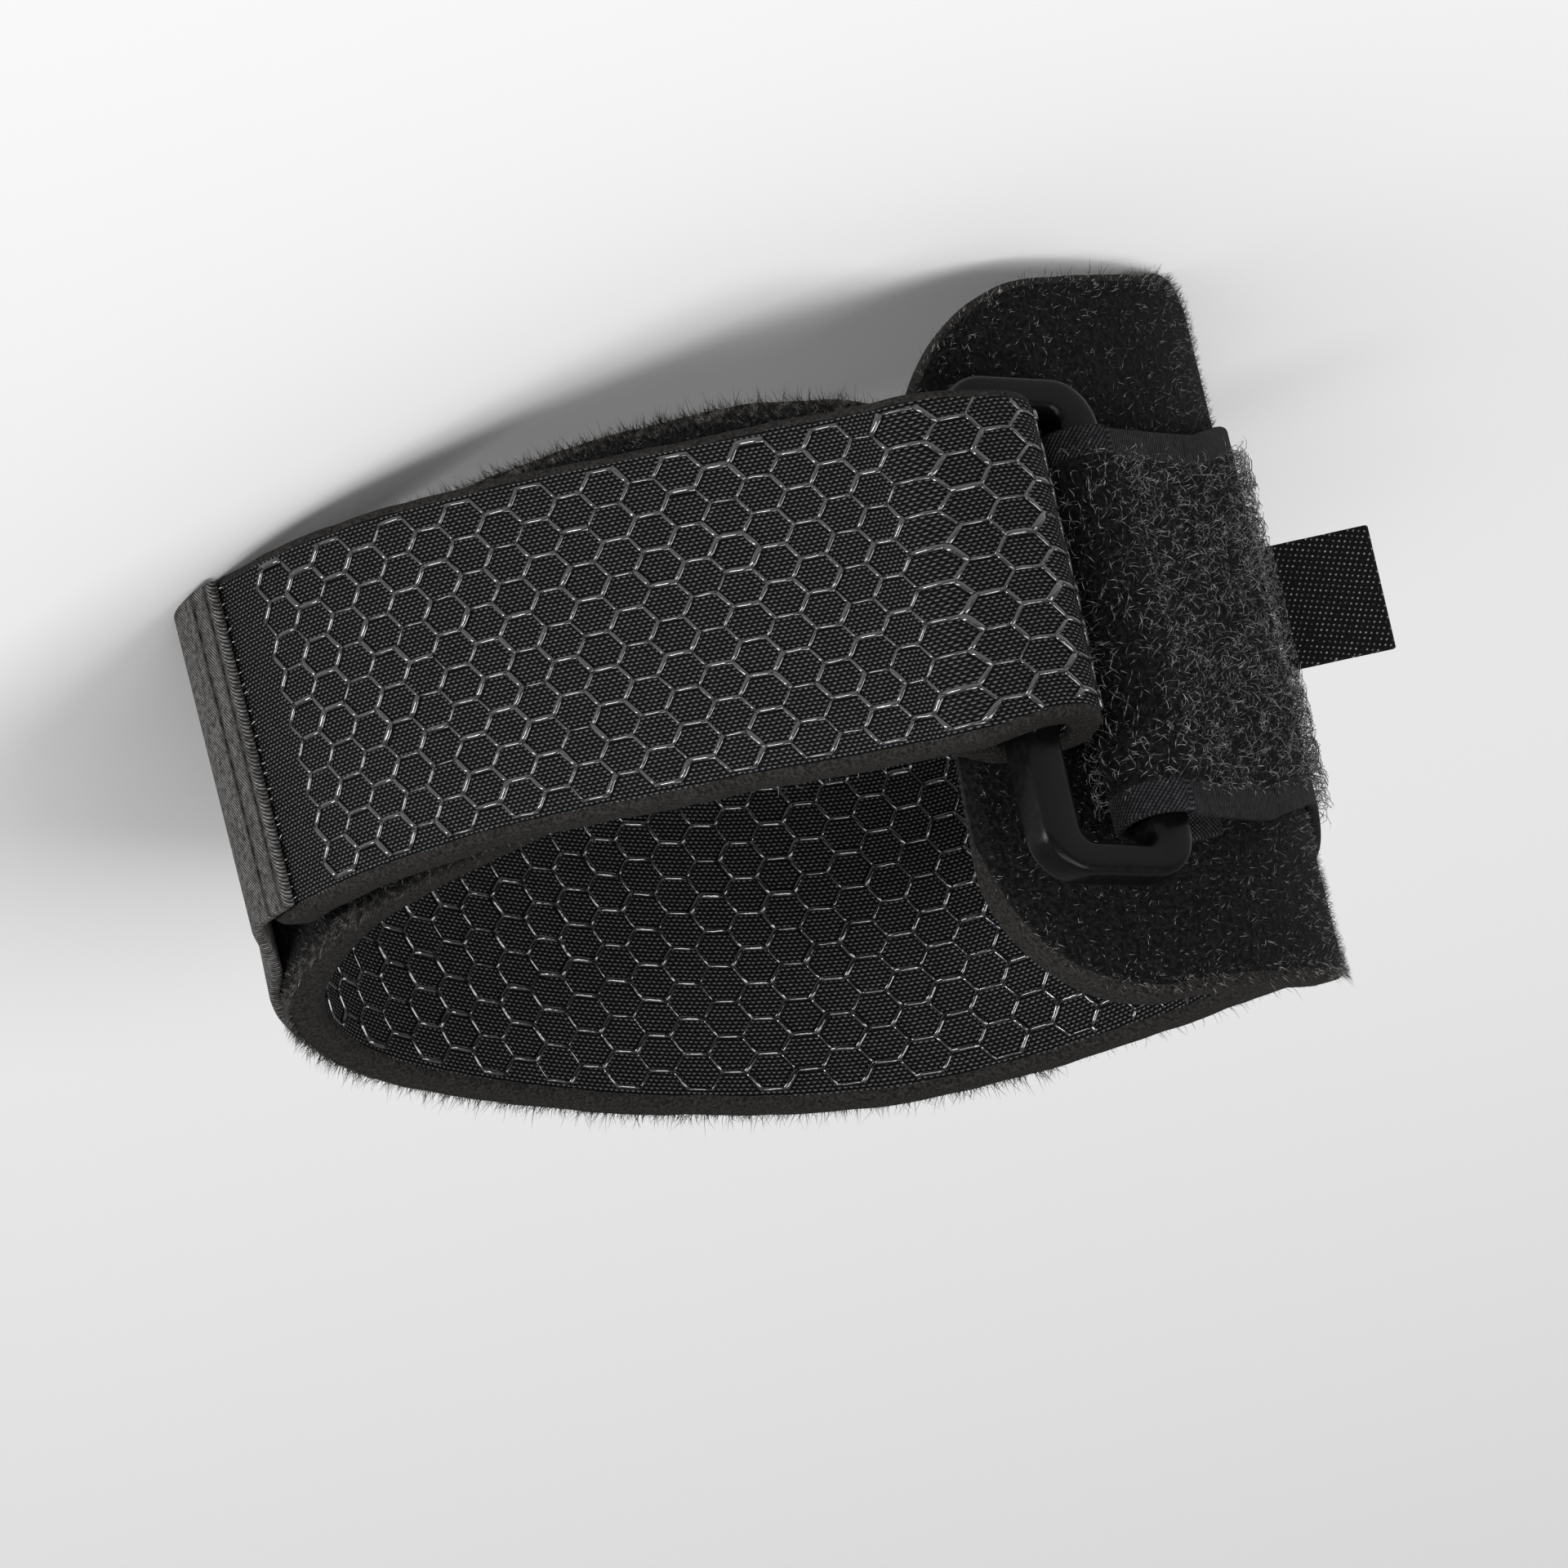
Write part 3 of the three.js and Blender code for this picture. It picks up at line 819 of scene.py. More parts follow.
class NodeBoard:
    """Short calls that add nodes to one material."""

    def __init__(self, name: str, roughness: float, specular: float = 0.3) -> None:
        """Starts a material with a bare shader.

        Args:
            name: of the material.
            roughness: of its surface.
            specular: its specular level.
        """
        self.material = bpy.data.materials.new(name)
        self.material.use_nodes = True
        self.tree = self.material.node_tree
        self.tree.nodes.clear()
        self.shader = self.tree.nodes.new("ShaderNodeBsdfPrincipled")
        output = self.tree.nodes.new("ShaderNodeOutputMaterial")
        self.tree.links.new(self.shader.outputs["BSDF"], output.inputs["Surface"])
        self.shader.inputs["Roughness"].default_value = roughness
        self.shader.inputs["Specular IOR Level"].default_value = specular

    def coat(self, weight: float, roughness: float) -> None:
        """A clear coat, the same all over."""
        self.shader.inputs["Coat Weight"].default_value = weight
        self.shader.inputs["Coat Roughness"].default_value = roughness

    def place(self) -> Socket:
        """Object coordinates in metres."""
        return self.tree.nodes.new("ShaderNodeTexCoord").outputs["Object"]

    def cloth(self) -> tuple[Socket, Socket]:
        """The piece's own UV in millimetres, as two numbers.

        Returns:
            Distance along the piece and height up it.
        """
        source = self.tree.nodes.new("ShaderNodeUVMap")
        source.uv_map = "cloth"
        split = self.tree.nodes.new("ShaderNodeSeparateXYZ")
        self.tree.links.new(source.outputs["UV"], split.inputs[0])
        return split.outputs[0], split.outputs[1]

    def math(self, operation: str, first: Socket | float, second: Socket | float = 0.0) -> Socket:
        """One Math node.

        Args:
            operation: Blender's name for it.
            first: a socket or a number.
            second: a socket or a number.

        Returns:
            The result.
        """
        node = self.tree.nodes.new("ShaderNodeMath")
        node.operation = operation
        for value, socket in zip((first, second), node.inputs):
            if isinstance(value, (int, float)):
                socket.default_value = value
            else:
                self.tree.links.new(value, socket)
        return node.outputs[0]

    def sine(self, along: Socket, pitch: float, shift: Socket | float = 0.0) -> Socket:
        """Half of one plus the sine of a full turn for each pitch, plus a shift.

        Args:
            along: distance that the wave runs along.
            pitch: length of one wave.
            shift: in radians.

        Returns:
            Values from 0 to 1.
        """
        turned = self.math("MULTIPLY", along, 2 * math.pi / pitch)
        wave = self.math("SINE", self.math("ADD", turned, shift))
        return self.math("ADD", self.math("MULTIPLY", wave, 0.5), 0.5)

    def noise(self, vector: Socket, scale: float, detail: float = 2.0) -> Socket:
        """Noise from 0 to 1.

        Args:
            vector: place.
            scale: cells for each metre.
            detail: octaves.

        Returns:
            The noise.
        """
        node = self.tree.nodes.new("ShaderNodeTexNoise")
        node.inputs["Scale"].default_value = scale
        node.inputs["Detail"].default_value = detail
        self.tree.links.new(vector, node.inputs["Vector"])
        return node.outputs["Fac"]

    def spread(self, value: Socket, low: float, high: float) -> Socket:
        """A value stretched so that low becomes 0 and high becomes 1, and held there.

        Args:
            value: what is stretched.
            low: becomes 0.
            high: becomes 1.

        Returns:
            Values from 0 to 1.
        """
        node = self.tree.nodes.new("ShaderNodeMapRange")
        node.inputs["From Min"].default_value = low
        node.inputs["From Max"].default_value = high
        self.tree.links.new(value, node.inputs["Value"])
        return node.outputs["Result"]

    def colour(self, share: Socket, dark: tuple[float, ...], light: tuple[float, ...]) -> None:
        """Base colour blended from dark to light.

        Args:
            share: 0 for dark, 1 for light.
            dark: linear colour.
            light: linear colour.
        """
        node = self.tree.nodes.new("ShaderNodeMix")
        node.data_type = "RGBA"
        for socket in node.inputs:
            if socket.name == "Factor" and socket.type == "VALUE":
                self.tree.links.new(share, socket)
                break
        for name, value in (("A", dark), ("B", light)):
            for socket in node.inputs:
                if socket.name == name and socket.type == "RGBA":
                    socket.default_value = (*value, 1)
        out = [socket for socket in node.outputs if socket.type == "RGBA"][0]
        self.tree.links.new(out, self.shader.inputs["Base Color"])

    def roughness(self, share: Socket, low: float, high: float) -> None:
        """Roughness blended from low to high."""
        value = self.math("ADD", self.math("MULTIPLY", share, high - low), low)
        self.tree.links.new(value, self.shader.inputs["Roughness"])

    def bump(self, height: Socket, distance: float, strength: float = 1.0) -> None:
        """Relief of a height in metres.

        Args:
            height: values from 0 to about 1.
            distance: metres for a height of 1.
            strength: share of the relief.
        """
        node = self.tree.nodes.new("ShaderNodeBump")
        node.inputs["Distance"].default_value = distance
        node.inputs["Strength"].default_value = strength
        self.tree.links.new(height, node.inputs["Height"])
        self.tree.links.new(node.outputs["Normal"], self.shader.inputs["Normal"])


@dataclass(frozen=True)
class KnitFinish:
    """Fine knit: rows of short dashes along the strap, shifted by half from row to row."""

    stitch: float = 0.56
    row: float = 0.37
    loose: float = 0.16
    depth: float = 0.00016
    dark: tuple[float, float, float] = (0.0008, 0.0008, 0.0010)
    light: tuple[float, float, float] = (0.135, 0.136, 0.140)

    def material(self) -> bpy.types.Material:
        """Rows: cos(2 pi v / row). Stitches: cos(2 pi u / stitch) cos(pi v / row).

        Returns:
            The material.
        """
        board = NodeBoard("knit_face", 0.9, 0.08)
        u, v = board.cloth()
        drift = board.math("SUBTRACT", board.noise(board.place(), 1100, 2), 0.5)
        u = board.math("ADD", u, board.math("MULTIPLY", drift, self.loose * 2))
        v = board.math("ADD", v, board.math("MULTIPLY", drift, self.loose))
        rows = board.sine(v, self.row)
        flip = board.math("SUBTRACT", board.sine(v, 2 * self.row), 0.5)
        along = board.math("SUBTRACT", board.sine(u, self.stitch), 0.5)
        stitch = board.math("ADD", board.math("MULTIPLY", board.math("MULTIPLY", flip, along), 2.0), 0.5)
        relief = board.math("ADD", board.math("MULTIPLY", rows, 0.5), board.math("MULTIPLY", stitch, 0.5))
        board.bump(relief, self.depth)
        shape = board.math("MULTIPLY", board.spread(rows, 0.35, 0.9), board.spread(stitch, 0.28, 0.8))
        patch = board.math("ADD", board.math("MULTIPLY", board.noise(board.place(), 2200, 3), 1.1), 0.1)
        board.colour(board.math("MULTIPLY", shape, patch), self.dark, self.light)
        return board.material


@dataclass(frozen=True)
class FoamFinish:
    """Dark open-cell foam at the cut edges."""

    dark: tuple[float, float, float] = (0.003, 0.0028, 0.0026)
    light: tuple[float, float, float] = (0.026, 0.024, 0.022)

    def material(self) -> bpy.types.Material:
        """Fine noise for the cells.

        Returns:
            The material.
        """
        board = NodeBoard("foam_edge", 0.95, 0.15)
        grain = board.noise(board.place(), 3200, 4)
        board.bump(grain, 0.0003)
        board.colour(board.spread(grain, 0.35, 0.7), self.dark, self.light)
        return board.material


@dataclass(frozen=True)
class PileGroundFinish:
    """Dark ground under the pile's fibres."""

    dark: tuple[float, float, float] = (0.002, 0.002, 0.0022)
    light: tuple[float, float, float] = (0.012, 0.012, 0.0125)

    def material(self) -> bpy.types.Material:
        """Two sizes of noise, deep.

        Returns:
            The material.
        """
        board = NodeBoard("pile_ground", 1.0, 0.1)
        tuft = board.noise(board.place(), 2200, 4)
        board.bump(tuft, 0.0006)
        board.colour(board.spread(tuft, 0.4, 0.75), self.dark, self.light)
        return board.material


@dataclass(frozen=True)
class FibreFinish:
    """Polyamide fibres with a soft gloss, some of them lighter."""

    name: str
    dark: tuple[float, float, float] = (0.003, 0.003, 0.0032)
    light: tuple[float, float, float] = (0.240, 0.236, 0.232)
    rough: float = 0.5

    def material(self) -> bpy.types.Material:
        """Noise finer than a tuft varies the tone from fibre to fibre.

        Returns:
            The material.
        """
        board = NodeBoard(self.name, self.rough, 0.35)
        patch = board.noise(board.place(), 1500, 2)
        board.colour(board.spread(patch, 0.46, 0.74), self.dark, self.light)
        return board.material


@dataclass(frozen=True)
class PrintFinish:
    """Smooth clear-dark silicone of the raised hexagons."""

    tone: tuple[float, float, float] = (0.003, 0.003, 0.004)

    def material(self) -> bpy.types.Material:
        """Gloss with a fine unevenness.

        Returns:
            The material.
        """
        board = NodeBoard("silicone_print", 0.22, 0.8)
        board.coat(0.7, 0.1)
        grain = board.noise(board.place(), 2500, 2)
        board.bump(grain, 0.00005)
        board.colour(grain, self.tone, tuple(2 * c for c in self.tone))
        board.roughness(grain, 0.1, 0.3)
        return board.material


@dataclass(frozen=True)
class PlasticFinish:
    """Black moulded plastic with a satin skin."""

    tone: tuple[float, float, float] = (0.002, 0.002, 0.0022)

    def material(self) -> bpy.types.Material:
        """Fine noise in the skin and the gloss.

        Returns:
            The material.
        """
        board = NodeBoard("ring_plastic", 0.3, 0.1)
        grain = board.noise(board.place(), 1400, 3)
        board.bump(grain, 0.00002)
        board.roughness(board.spread(grain, 0.3, 0.7), 0.2, 0.34)
        board.colour(grain, self.tone, tuple(1.8 * c for c in self.tone))
        return board.material


@dataclass(frozen=True)
class TwillFinish:
    """Woven tape with fine slanting ribs, and grooves where it is sewn down, darkened there with painted
    shade.
    """

    name: str
    pitch: float
    slope: float
    dark: tuple[float, float, float]
    light: tuple[float, float, float]
    depth: float = 0.00012
    speckle: float = 1800.0
    grooves: tuple[float, ...] = ()
    groove_half: float = 0.55

    def material(self) -> bpy.types.Material:
        """Slanting ribs cut by cross threads, with noise from yarn to yarn, and painted shade darkening
        each groove line.

        Returns:
            The material.
        """
        board = NodeBoard(self.name, 0.85, 0.08)
        u, v = board.cloth()
        slant = board.math("ADD", u, board.math("MULTIPLY", v, self.slope))
        rib = board.sine(slant, self.pitch)
        cross = board.sine(board.math("SUBTRACT", v, board.math("MULTIPLY", u, 0.4)), self.pitch * 0.8)
        relief = board.math("MULTIPLY", rib, board.math("ADD", board.math("MULTIPLY", cross, 0.6), 0.4))
        patch = board.noise(board.place(), self.speckle, 3)
        tone = board.math("MULTIPLY", relief, board.spread(patch, 0.2, 0.7))
        for line in self.grooves:
            away = board.math("ABSOLUTE", board.math("SUBTRACT", u, line))
            open_share = board.spread(away, 0.0, self.groove_half)
            relief = board.math("ADD", board.math("MULTIPLY", open_share, 3.0), relief)
            # painted shade: the tone falls to a quarter at the middle of each groove line
            painted_groove_shade = board.math("ADD", board.math("MULTIPLY", open_share, 0.75), 0.25)
            tone = board.math("MULTIPLY", tone, painted_groove_shade)
        board.bump(relief, self.depth)
        board.colour(tone, self.dark, self.light)
        return board.material


@dataclass(frozen=True)
class LabelFinish:
    """Black satin weave with small light binding points in slanting lines."""

    pitch: float = 0.56
    dark: tuple[float, float, float] = (0.001, 0.0011, 0.0013)
    light: tuple[float, float, float] = (0.30, 0.31, 0.32)

    def material(self) -> bpy.types.Material:
        """Product of two slanting sines, of which only the peaks show.

        Returns:
            The material.
        """
        board = NodeBoard("label_weave", 0.7, 0.12)
        u, v = board.cloth()
        one = board.sine(board.math("ADD", u, board.math("MULTIPLY", v, 0.5)), self.pitch)
        two = board.sine(board.math("SUBTRACT", v, board.math("MULTIPLY", u, 0.3)), self.pitch)
        points = board.math("MULTIPLY", one, two)
        board.bump(points, 0.00006)
        patch = board.spread(board.noise(board.place(), 2400, 2), 0.35, 0.65)
        board.colour(board.math("MULTIPLY", board.spread(points, 0.6, 0.95), patch), self.dark, self.light)
        return board.material


@dataclass(frozen=True)
class ThreadFinish:
    """Twisted sewing thread or stiff hook bristle of one tone."""

    name: str
    tone: tuple[float, float, float]
    rough: float = 0.6

    def material(self) -> bpy.types.Material:
        """Noise along the thread.

        Returns:
            The material.
        """
        board = NodeBoard(self.name, self.rough, 0.4)
        grain = board.noise(board.place(), 4000, 2)
        board.bump(grain, 0.00005)
        board.colour(grain, self.tone, tuple(1.5 * c for c in self.tone))
        return board.material


@dataclass(frozen=True)
class FloorFinish:
    """Plain pale studio floor."""

    tone: float = 0.80

    def material(self) -> bpy.types.Material:
        """A faint noise keeps it from being one flat colour.

        Returns:
            The material.
        """
        board = NodeBoard("studio_floor", 0.9, 0.1)
        grain = board.noise(board.place(), 3, 2)
        low = (self.tone, self.tone, self.tone)
        board.colour(grain, low, tuple(c + 0.01 for c in low))
        return board.material


def dress(piece: bpy.types.Object, *materials: bpy.types.Material) -> None:
    """Gives a piece its materials in order of their slots."""
    for material in materials:
        piece.data.materials.append(material)


# Sub-assemblies


@dataclass
class StrapLaminate:
    """Knit, foam and pile in one body, with the raised hexagon print on the knit."""

    plan: LoopPlan
    pose: RestPose
    ease: float = 0.9
    pile_inset: float = 0.35
    column: float = 3.62
    row: float = 3.32
    margin: float = 1.3
    start_margin: float = 2.8
    end_margin: float = 12.0
    line: float = 0.5
    line_height: float = 0.26
    line_shortest: float = 0.5
    line_wander: float = 0.02
    line_swell: float = 0.08
    line_heavy: float = 0.25
    line_limits: tuple[float, float] = (0.45, 1.5)
    print_seed: int = 31
    sunk: float = 0.12
    cut: int = 3
    root_margin: float = 0.45
    edge_width: float = 1.5
    edge_splay: float = 0.75
    edge_splay_run: float = 1.6
    pad_fibres: int = 13500
    band_fibres: int = 11000
    fuzz_fibres: int = 5000
    fringe_fibres: int = 8000
    fringe_margin: float = 0.25
    fringe_width: float = 2.0
    fringe_splay: float = 0.5
    fringe_spans: tuple[float, float, float] = (0.28, 0.55, 0.86)
    fringe_overlap: float = 0.12
    pad_end: float = 118.0
    fuzz_length: tuple[float, float] = (0.10, 0.30)
    fuzz_radius: float = 0.03
    fuzz_seed: int = 51
    foam_dark: tuple[float, float, float] = (0.004, 0.0037, 0.0034)
    rail: Rail = field(init=False)

    def __post_init__(self) -> None:
        """Refines the strap's path once for all its pieces."""
        self.rail = self.plan.strap().refined(3)

    def strip(self) -> Strip:
        """The laminate's body."""
        return Strip(
            self.rail,
            self.plan.thickness,
            self.ease,
            face_cells=16,
            start_corner=self.plan.pad_corner,
            end_corner=self.plan.band_corner,
            end_taper=1.2,
            wobble=0.25,
            swell=0.12,
            seed=5,
        )

    def body(self) -> bpy.types.Object:
        """The laminate's body with knit, foam and pile ground on their faces.

        Returns:
            The piece.
        """
        piece = self.strip().mesh("strap_laminate", self.pose)
        dress(piece, KnitFinish().material(), FoamFinish().material(), PileGroundFinish().material())
        return piece

    def print_edges(self) -> tuple[Array, Array]:
        """Both ends of each printed line, in travel and height.

        The cells are flat-topped hexagons in columns a column pitch apart, every other
        column half a row up. A corner is b from a cell's middle at the top and bottom and
        a column less b at the sides, with b a third of a column.

        Returns:
            First and second ends, each lines by 2.
        """
        b = self.column / 3
        a = self.column - b
        columns = np.arange(int(self.rail.length / self.column) + 2)
        rows = np.arange(-12, 13)
        c, r = (grid.ravel() for grid in np.meshgrid(columns, rows, indexing="ij"))
        middle = np.stack([c * self.column, (r + 0.5 * (c % 2)) * self.row], axis=1)
        top = self.row / 2
        corners = np.array([[-b, top], [b, top], [a, 0], [b, -top]])
        first = np.concatenate([middle + corners[i] for i in (0, 1, 2)])
        second = np.concatenate([middle + corners[i] for i in (1, 2, 3)])
        return self.clipped(first, second)

    def clipped(self, first: Array, second: Array) -> tuple[Array, Array]:
        """Keeps the lines inside the plain margins and shortens those that cross one.

        Args:
            first: travel and height of one end of each line.
            second: of the other end.

        Returns:
            The ends nearer the middle, and the other ends.
        """
        strip = self.strip()

        def room(travel: Array) -> Array:
            """Half height left inside the plain margin."""
            inside = np.clip(travel, 0, self.rail.length)
            _, _, _, _, half = self.rail.frames(inside)
            return strip.half_at(inside, half) - self.margin

        flip = np.abs(first[:, 1]) > np.abs(second[:, 1])
        inner = np.where(flip[:, None], second, first)
        outer = np.where(flip[:, None], first, second)
        limit = room(inner[:, 0])
        span = np.abs(outer[:, 1]) - np.abs(inner[:, 1])
        share = np.clip((limit - np.abs(inner[:, 1])) / np.maximum(span, 1e-6), 0, 1)
        share = np.where(span < 1e-6, np.where(np.abs(inner[:, 1]) <= limit, 1, 0), share)
        end = inner + (outer - inner) * share[:, None]
        low, high = self.start_margin, self.rail.length - self.end_margin
        after = np.minimum(inner[:, 0], end[:, 0]) > low
        before = np.maximum(inner[:, 0], end[:, 0]) < high
        long = np.hypot(*(end - inner).T) > self.line_shortest
        keep = after & before & long & (np.abs(inner[:, 1]) <= limit)
        return inner[keep], end[keep]

    def print_mesh(self) -> bpy.types.Object:
        """The printed lines as low rounded ridges that run a little into each other.

        A ridge's point is its line's point plus w sideways and h out, with w and h going
        once round a half circle; width and height vary with a seeded noise.

        Returns:
            The piece.
        """
        first, second = self.print_edges()
        rng = np.random.default_rng(self.print_seed)
        count = len(first)
        s = np.linspace(-0.05, 1.05, self.cut + 1)[None, :, None]
        line = first[:, None] + (second - first)[:, None] * s
        direction = unit(second - first)
        sideways = np.stack([-direction[:, 1], direction[:, 0]], axis=1)
        wander = rng.normal(0, self.line_wander, (count, self.cut + 1, 1))
        line = line + sideways[:, None] * wander
        angle = np.linspace(0, np.pi, 5)
        wide = np.concatenate([np.cos(angle), [0.0]]) * self.line / 2
        tall = np.concatenate([np.sin(angle) ** 0.8 * self.line_height, [-self.sunk]])
        swell = 1 + rng.normal(0, self.line_swell, (count, self.cut + 1, 1))
        heavy = 1 + self.line_heavy * rng.normal(0, 1, (count, 1, 1))
        swell = np.clip(swell * heavy, *self.line_limits)
        flat = line[:, :, None] + sideways[:, None, None] * (wide * swell)[..., None]
        height = tall[None, None] * np.where(tall > 0, swell, 1.0)
        offset = -(self.plan.thickness / 2 + self.crown(flat)) - height
        points = self.rail.points(flat[..., 0], flat[..., 1], offset)
        size = len(wide)
        index = np.arange(count * (self.cut + 1) * size).reshape(count, self.cut + 1, size)
        beside = np.roll(index, -1, axis=2)
        quads = np.stack([index[:, :-1], beside[:, :-1], beside[:, 1:], index[:, 1:]], axis=-1)
        ends = [cap for cap in index[:, 0, ::-1]] + [cap for cap in index[:, -1]]
        placed = self.pose.place(points.reshape(-1, 3))
        piece = build("hexagon_print", placed, quads.reshape(-1, 4), caps=ends)
        dress(piece, PrintFinish().material())
        return piece

    def crown(self, flat: Array) -> Array:
        """Swell of the body's face under a printed point, as in the body's own grid.

        Args:
            flat: travel and height of the points.

        Returns:
            Swell in millimetres.
        """
        strip = self.strip()
        travel = flat[..., 0]
        _, _, _, _, half = self.rail.frames(travel)
        side = np.clip(flat[..., 1] / np.maximum(half - self.ease, 1), -1, 1)
        wave = strip.wave(travel.ravel(), Wave.SWELL).reshape(travel.shape)
        return strip.swell * (1 - side**2) * (SWELL_EVEN + SWELL_WAVE * wave)

    def roots(
        self, count: int, low: float, high: float, edge: float, seed: int
    ) -> tuple[Array, Array, Array]:
        """Seeded roots on the pile face, a share of them crowded to the two edges.

        Args:
            count: how many.
            low: first distance along the path.
            high: last distance.
            edge: share of the roots within edge_width of each edge.
            seed: of the random numbers.

        Returns:
            Travel, height and splay of each root.
        """
        rng = np.random.default_rng(seed)
        have = np.linspace(low, high, 400)
        _, _, _, _, half = self.rail.frames(have)
        room = self.strip().half_at(have, half)
        share = np.cumsum(room) / room.sum()
        travel = np.interp(rng.uniform(0, 1, count), share, have)
        limit = np.interp(travel, have, room) - self.root_margin
        side = rng.uniform(-1, 1, count)
        near = rng.uniform(0, 1, count) < edge
        close = np.sign(side) * (limit - rng.uniform(0, self.edge_width, count))
        height = np.where(near, close, side * limit)
        out = smooth_step(np.abs(height), 0, 1)
        rising = smooth_step(np.abs(height) - limit, -self.edge_splay_run, 0.0)
        splay = np.sign(height) * self.edge_splay * rising * out
        return travel, height, splay

    def pile(self) -> list[bpy.types.Object]:
        """Fibres on the pad and on the rest of the strap.

        Returns:
            Pad, band, lower rim and upper rim.
        """
        split, last = self.pad_end, self.rail.length - 1
        base = self.plan.thickness / 2 - self.pile_inset
        finish = FibreFinish("pile_fibre", light=(0.40, 0.39, 0.38)).material()
        pad = Pile(
            self.rail, self.pad_fibres, base, length=(0.7, 1.35), radius=0.045, lean=0.75, curl=0.5, seed=11
        )
        band = Pile(
            self.rail, self.band_fibres, base, length=(0.5, 1.0), radius=0.045, lean=0.7, curl=0.5, seed=12
        )
        pieces = [
            pad.mesh("pad_pile", self.roots(pad.count, 0.8, split, 0.12, 21), self.pose),
            band.mesh("band_pile", self.roots(band.count, split, last, 0.2, 22), self.pose),
        ]
        for piece in pieces:
            dress(piece, finish)
        low, middle, high = self.fringe_spans
        lower = self.fringe("lower_rim_pile", base, -1, middle, high)
        upper = self.fringe("upper_rim_pile", base, 1, low, middle + self.fringe_overlap)
        return [*pieces, lower, upper]

    def fringe(self, name: str, base: float, side: int, low: float, high: float) -> bpy.types.Object:
        """Crowded brown pile along one rim, which closes the outline there.

        Args:
            name: of the object.
            base: distance of the roots from the middle of the laminate.
            side: 1 for the upper rim, -1 for the lower one.
            low: first share of the strap's length.
            high: last share.

        Returns:
            The fibres.
        """
        rng = np.random.default_rng(23 + side)
        count = self.fringe_fibres
        travel = rng.uniform(low, high, count) * self.rail.length
        _, _, _, _, half = self.rail.frames(travel)
        reach = self.strip().half_at(travel, half)
        height = side * (reach - rng.uniform(self.fringe_margin, self.fringe_width, count))
        pile = Pile(self.rail, count, base, length=(0.7, 1.4), radius=0.042, lean=0.8, curl=0.5, seed=13)
        splay = np.full(count, side * self.fringe_splay)
        piece = pile.mesh(name, (travel, height, splay), self.pose)
        fibre = FibreFinish("rim_fibre", self.foam_dark, light=(0.15, 0.14, 0.128), rough=0.7)
        dress(piece, fibre.material())
        return piece

    def fuzz(self) -> bpy.types.Object:
        """Short brown fuzz of the foam and cut yarns along both edges.

        A fuzz fibre is its root on the edge plus length (s up or down + a seeded bend s^2).

        Returns:
            The piece.
        """
        rng = np.random.default_rng(self.fuzz_seed)
        count = self.fuzz_fibres
        travel = rng.uniform(0.5, self.rail.length - 0.5, count)
        place, along, normal, up, half = self.rail.frames(travel)
        strip = self.strip()
        side = np.where(rng.uniform(0, 1, count) < 0.5, -1.0, 1.0)
        high, low = strip.wave(travel, Wave.UPPER_EDGE), strip.wave(travel, Wave.LOWER_EDGE)
        reach = strip.half_at(travel, half) + strip.wobble * np.where(side > 0, high, low)
        across = rng.uniform(-1, 1, count)
        inset = self.ease * (1 - np.sqrt(np.maximum(1 - np.abs(across) ** 3, 0)))
        height = side * (reach - inset - 0.08)
        offset = across * self.plan.thickness * 0.46
        root = place + normal * offset[:, None] + up * height[:, None]
        long = rng.uniform(*self.fuzz_length, count)[:, None, None]
        bend = along * rng.normal(0, 0.6, count)[:, None] + normal * rng.normal(0, 0.5, count)[:, None]
        s = np.linspace(0, 1, 3)[None, :, None]
        paths = root[:, None] + long * ((up * side[:, None])[:, None] * s + bend[:, None] * s**2)
        vertices, triangles = tubes(paths, np.full((count, 2), self.fuzz_radius) * [1.0, 0.7])
        piece = build("edge_fuzz", self.pose.place(vertices), triangles)
        fibre = FibreFinish("fuzz_fibre", self.foam_dark, light=(0.060, 0.055, 0.050), rough=0.8)
        dress(piece, fibre.material())
        return piece

    def make(self) -> list[bpy.types.Object]:
        """Returns:
            The body first, then what lies on it.
        """
        body = self.body()
        relief = self.print_mesh()
        piles = [*self.pile(), self.fuzz()]
        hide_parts("strap")
        for piece in (body, relief, *piles):
            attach(piece, "root")
        _, _, _, _, half = self.rail.frames(self.rail.travel)
        return [body, relief, *piles]


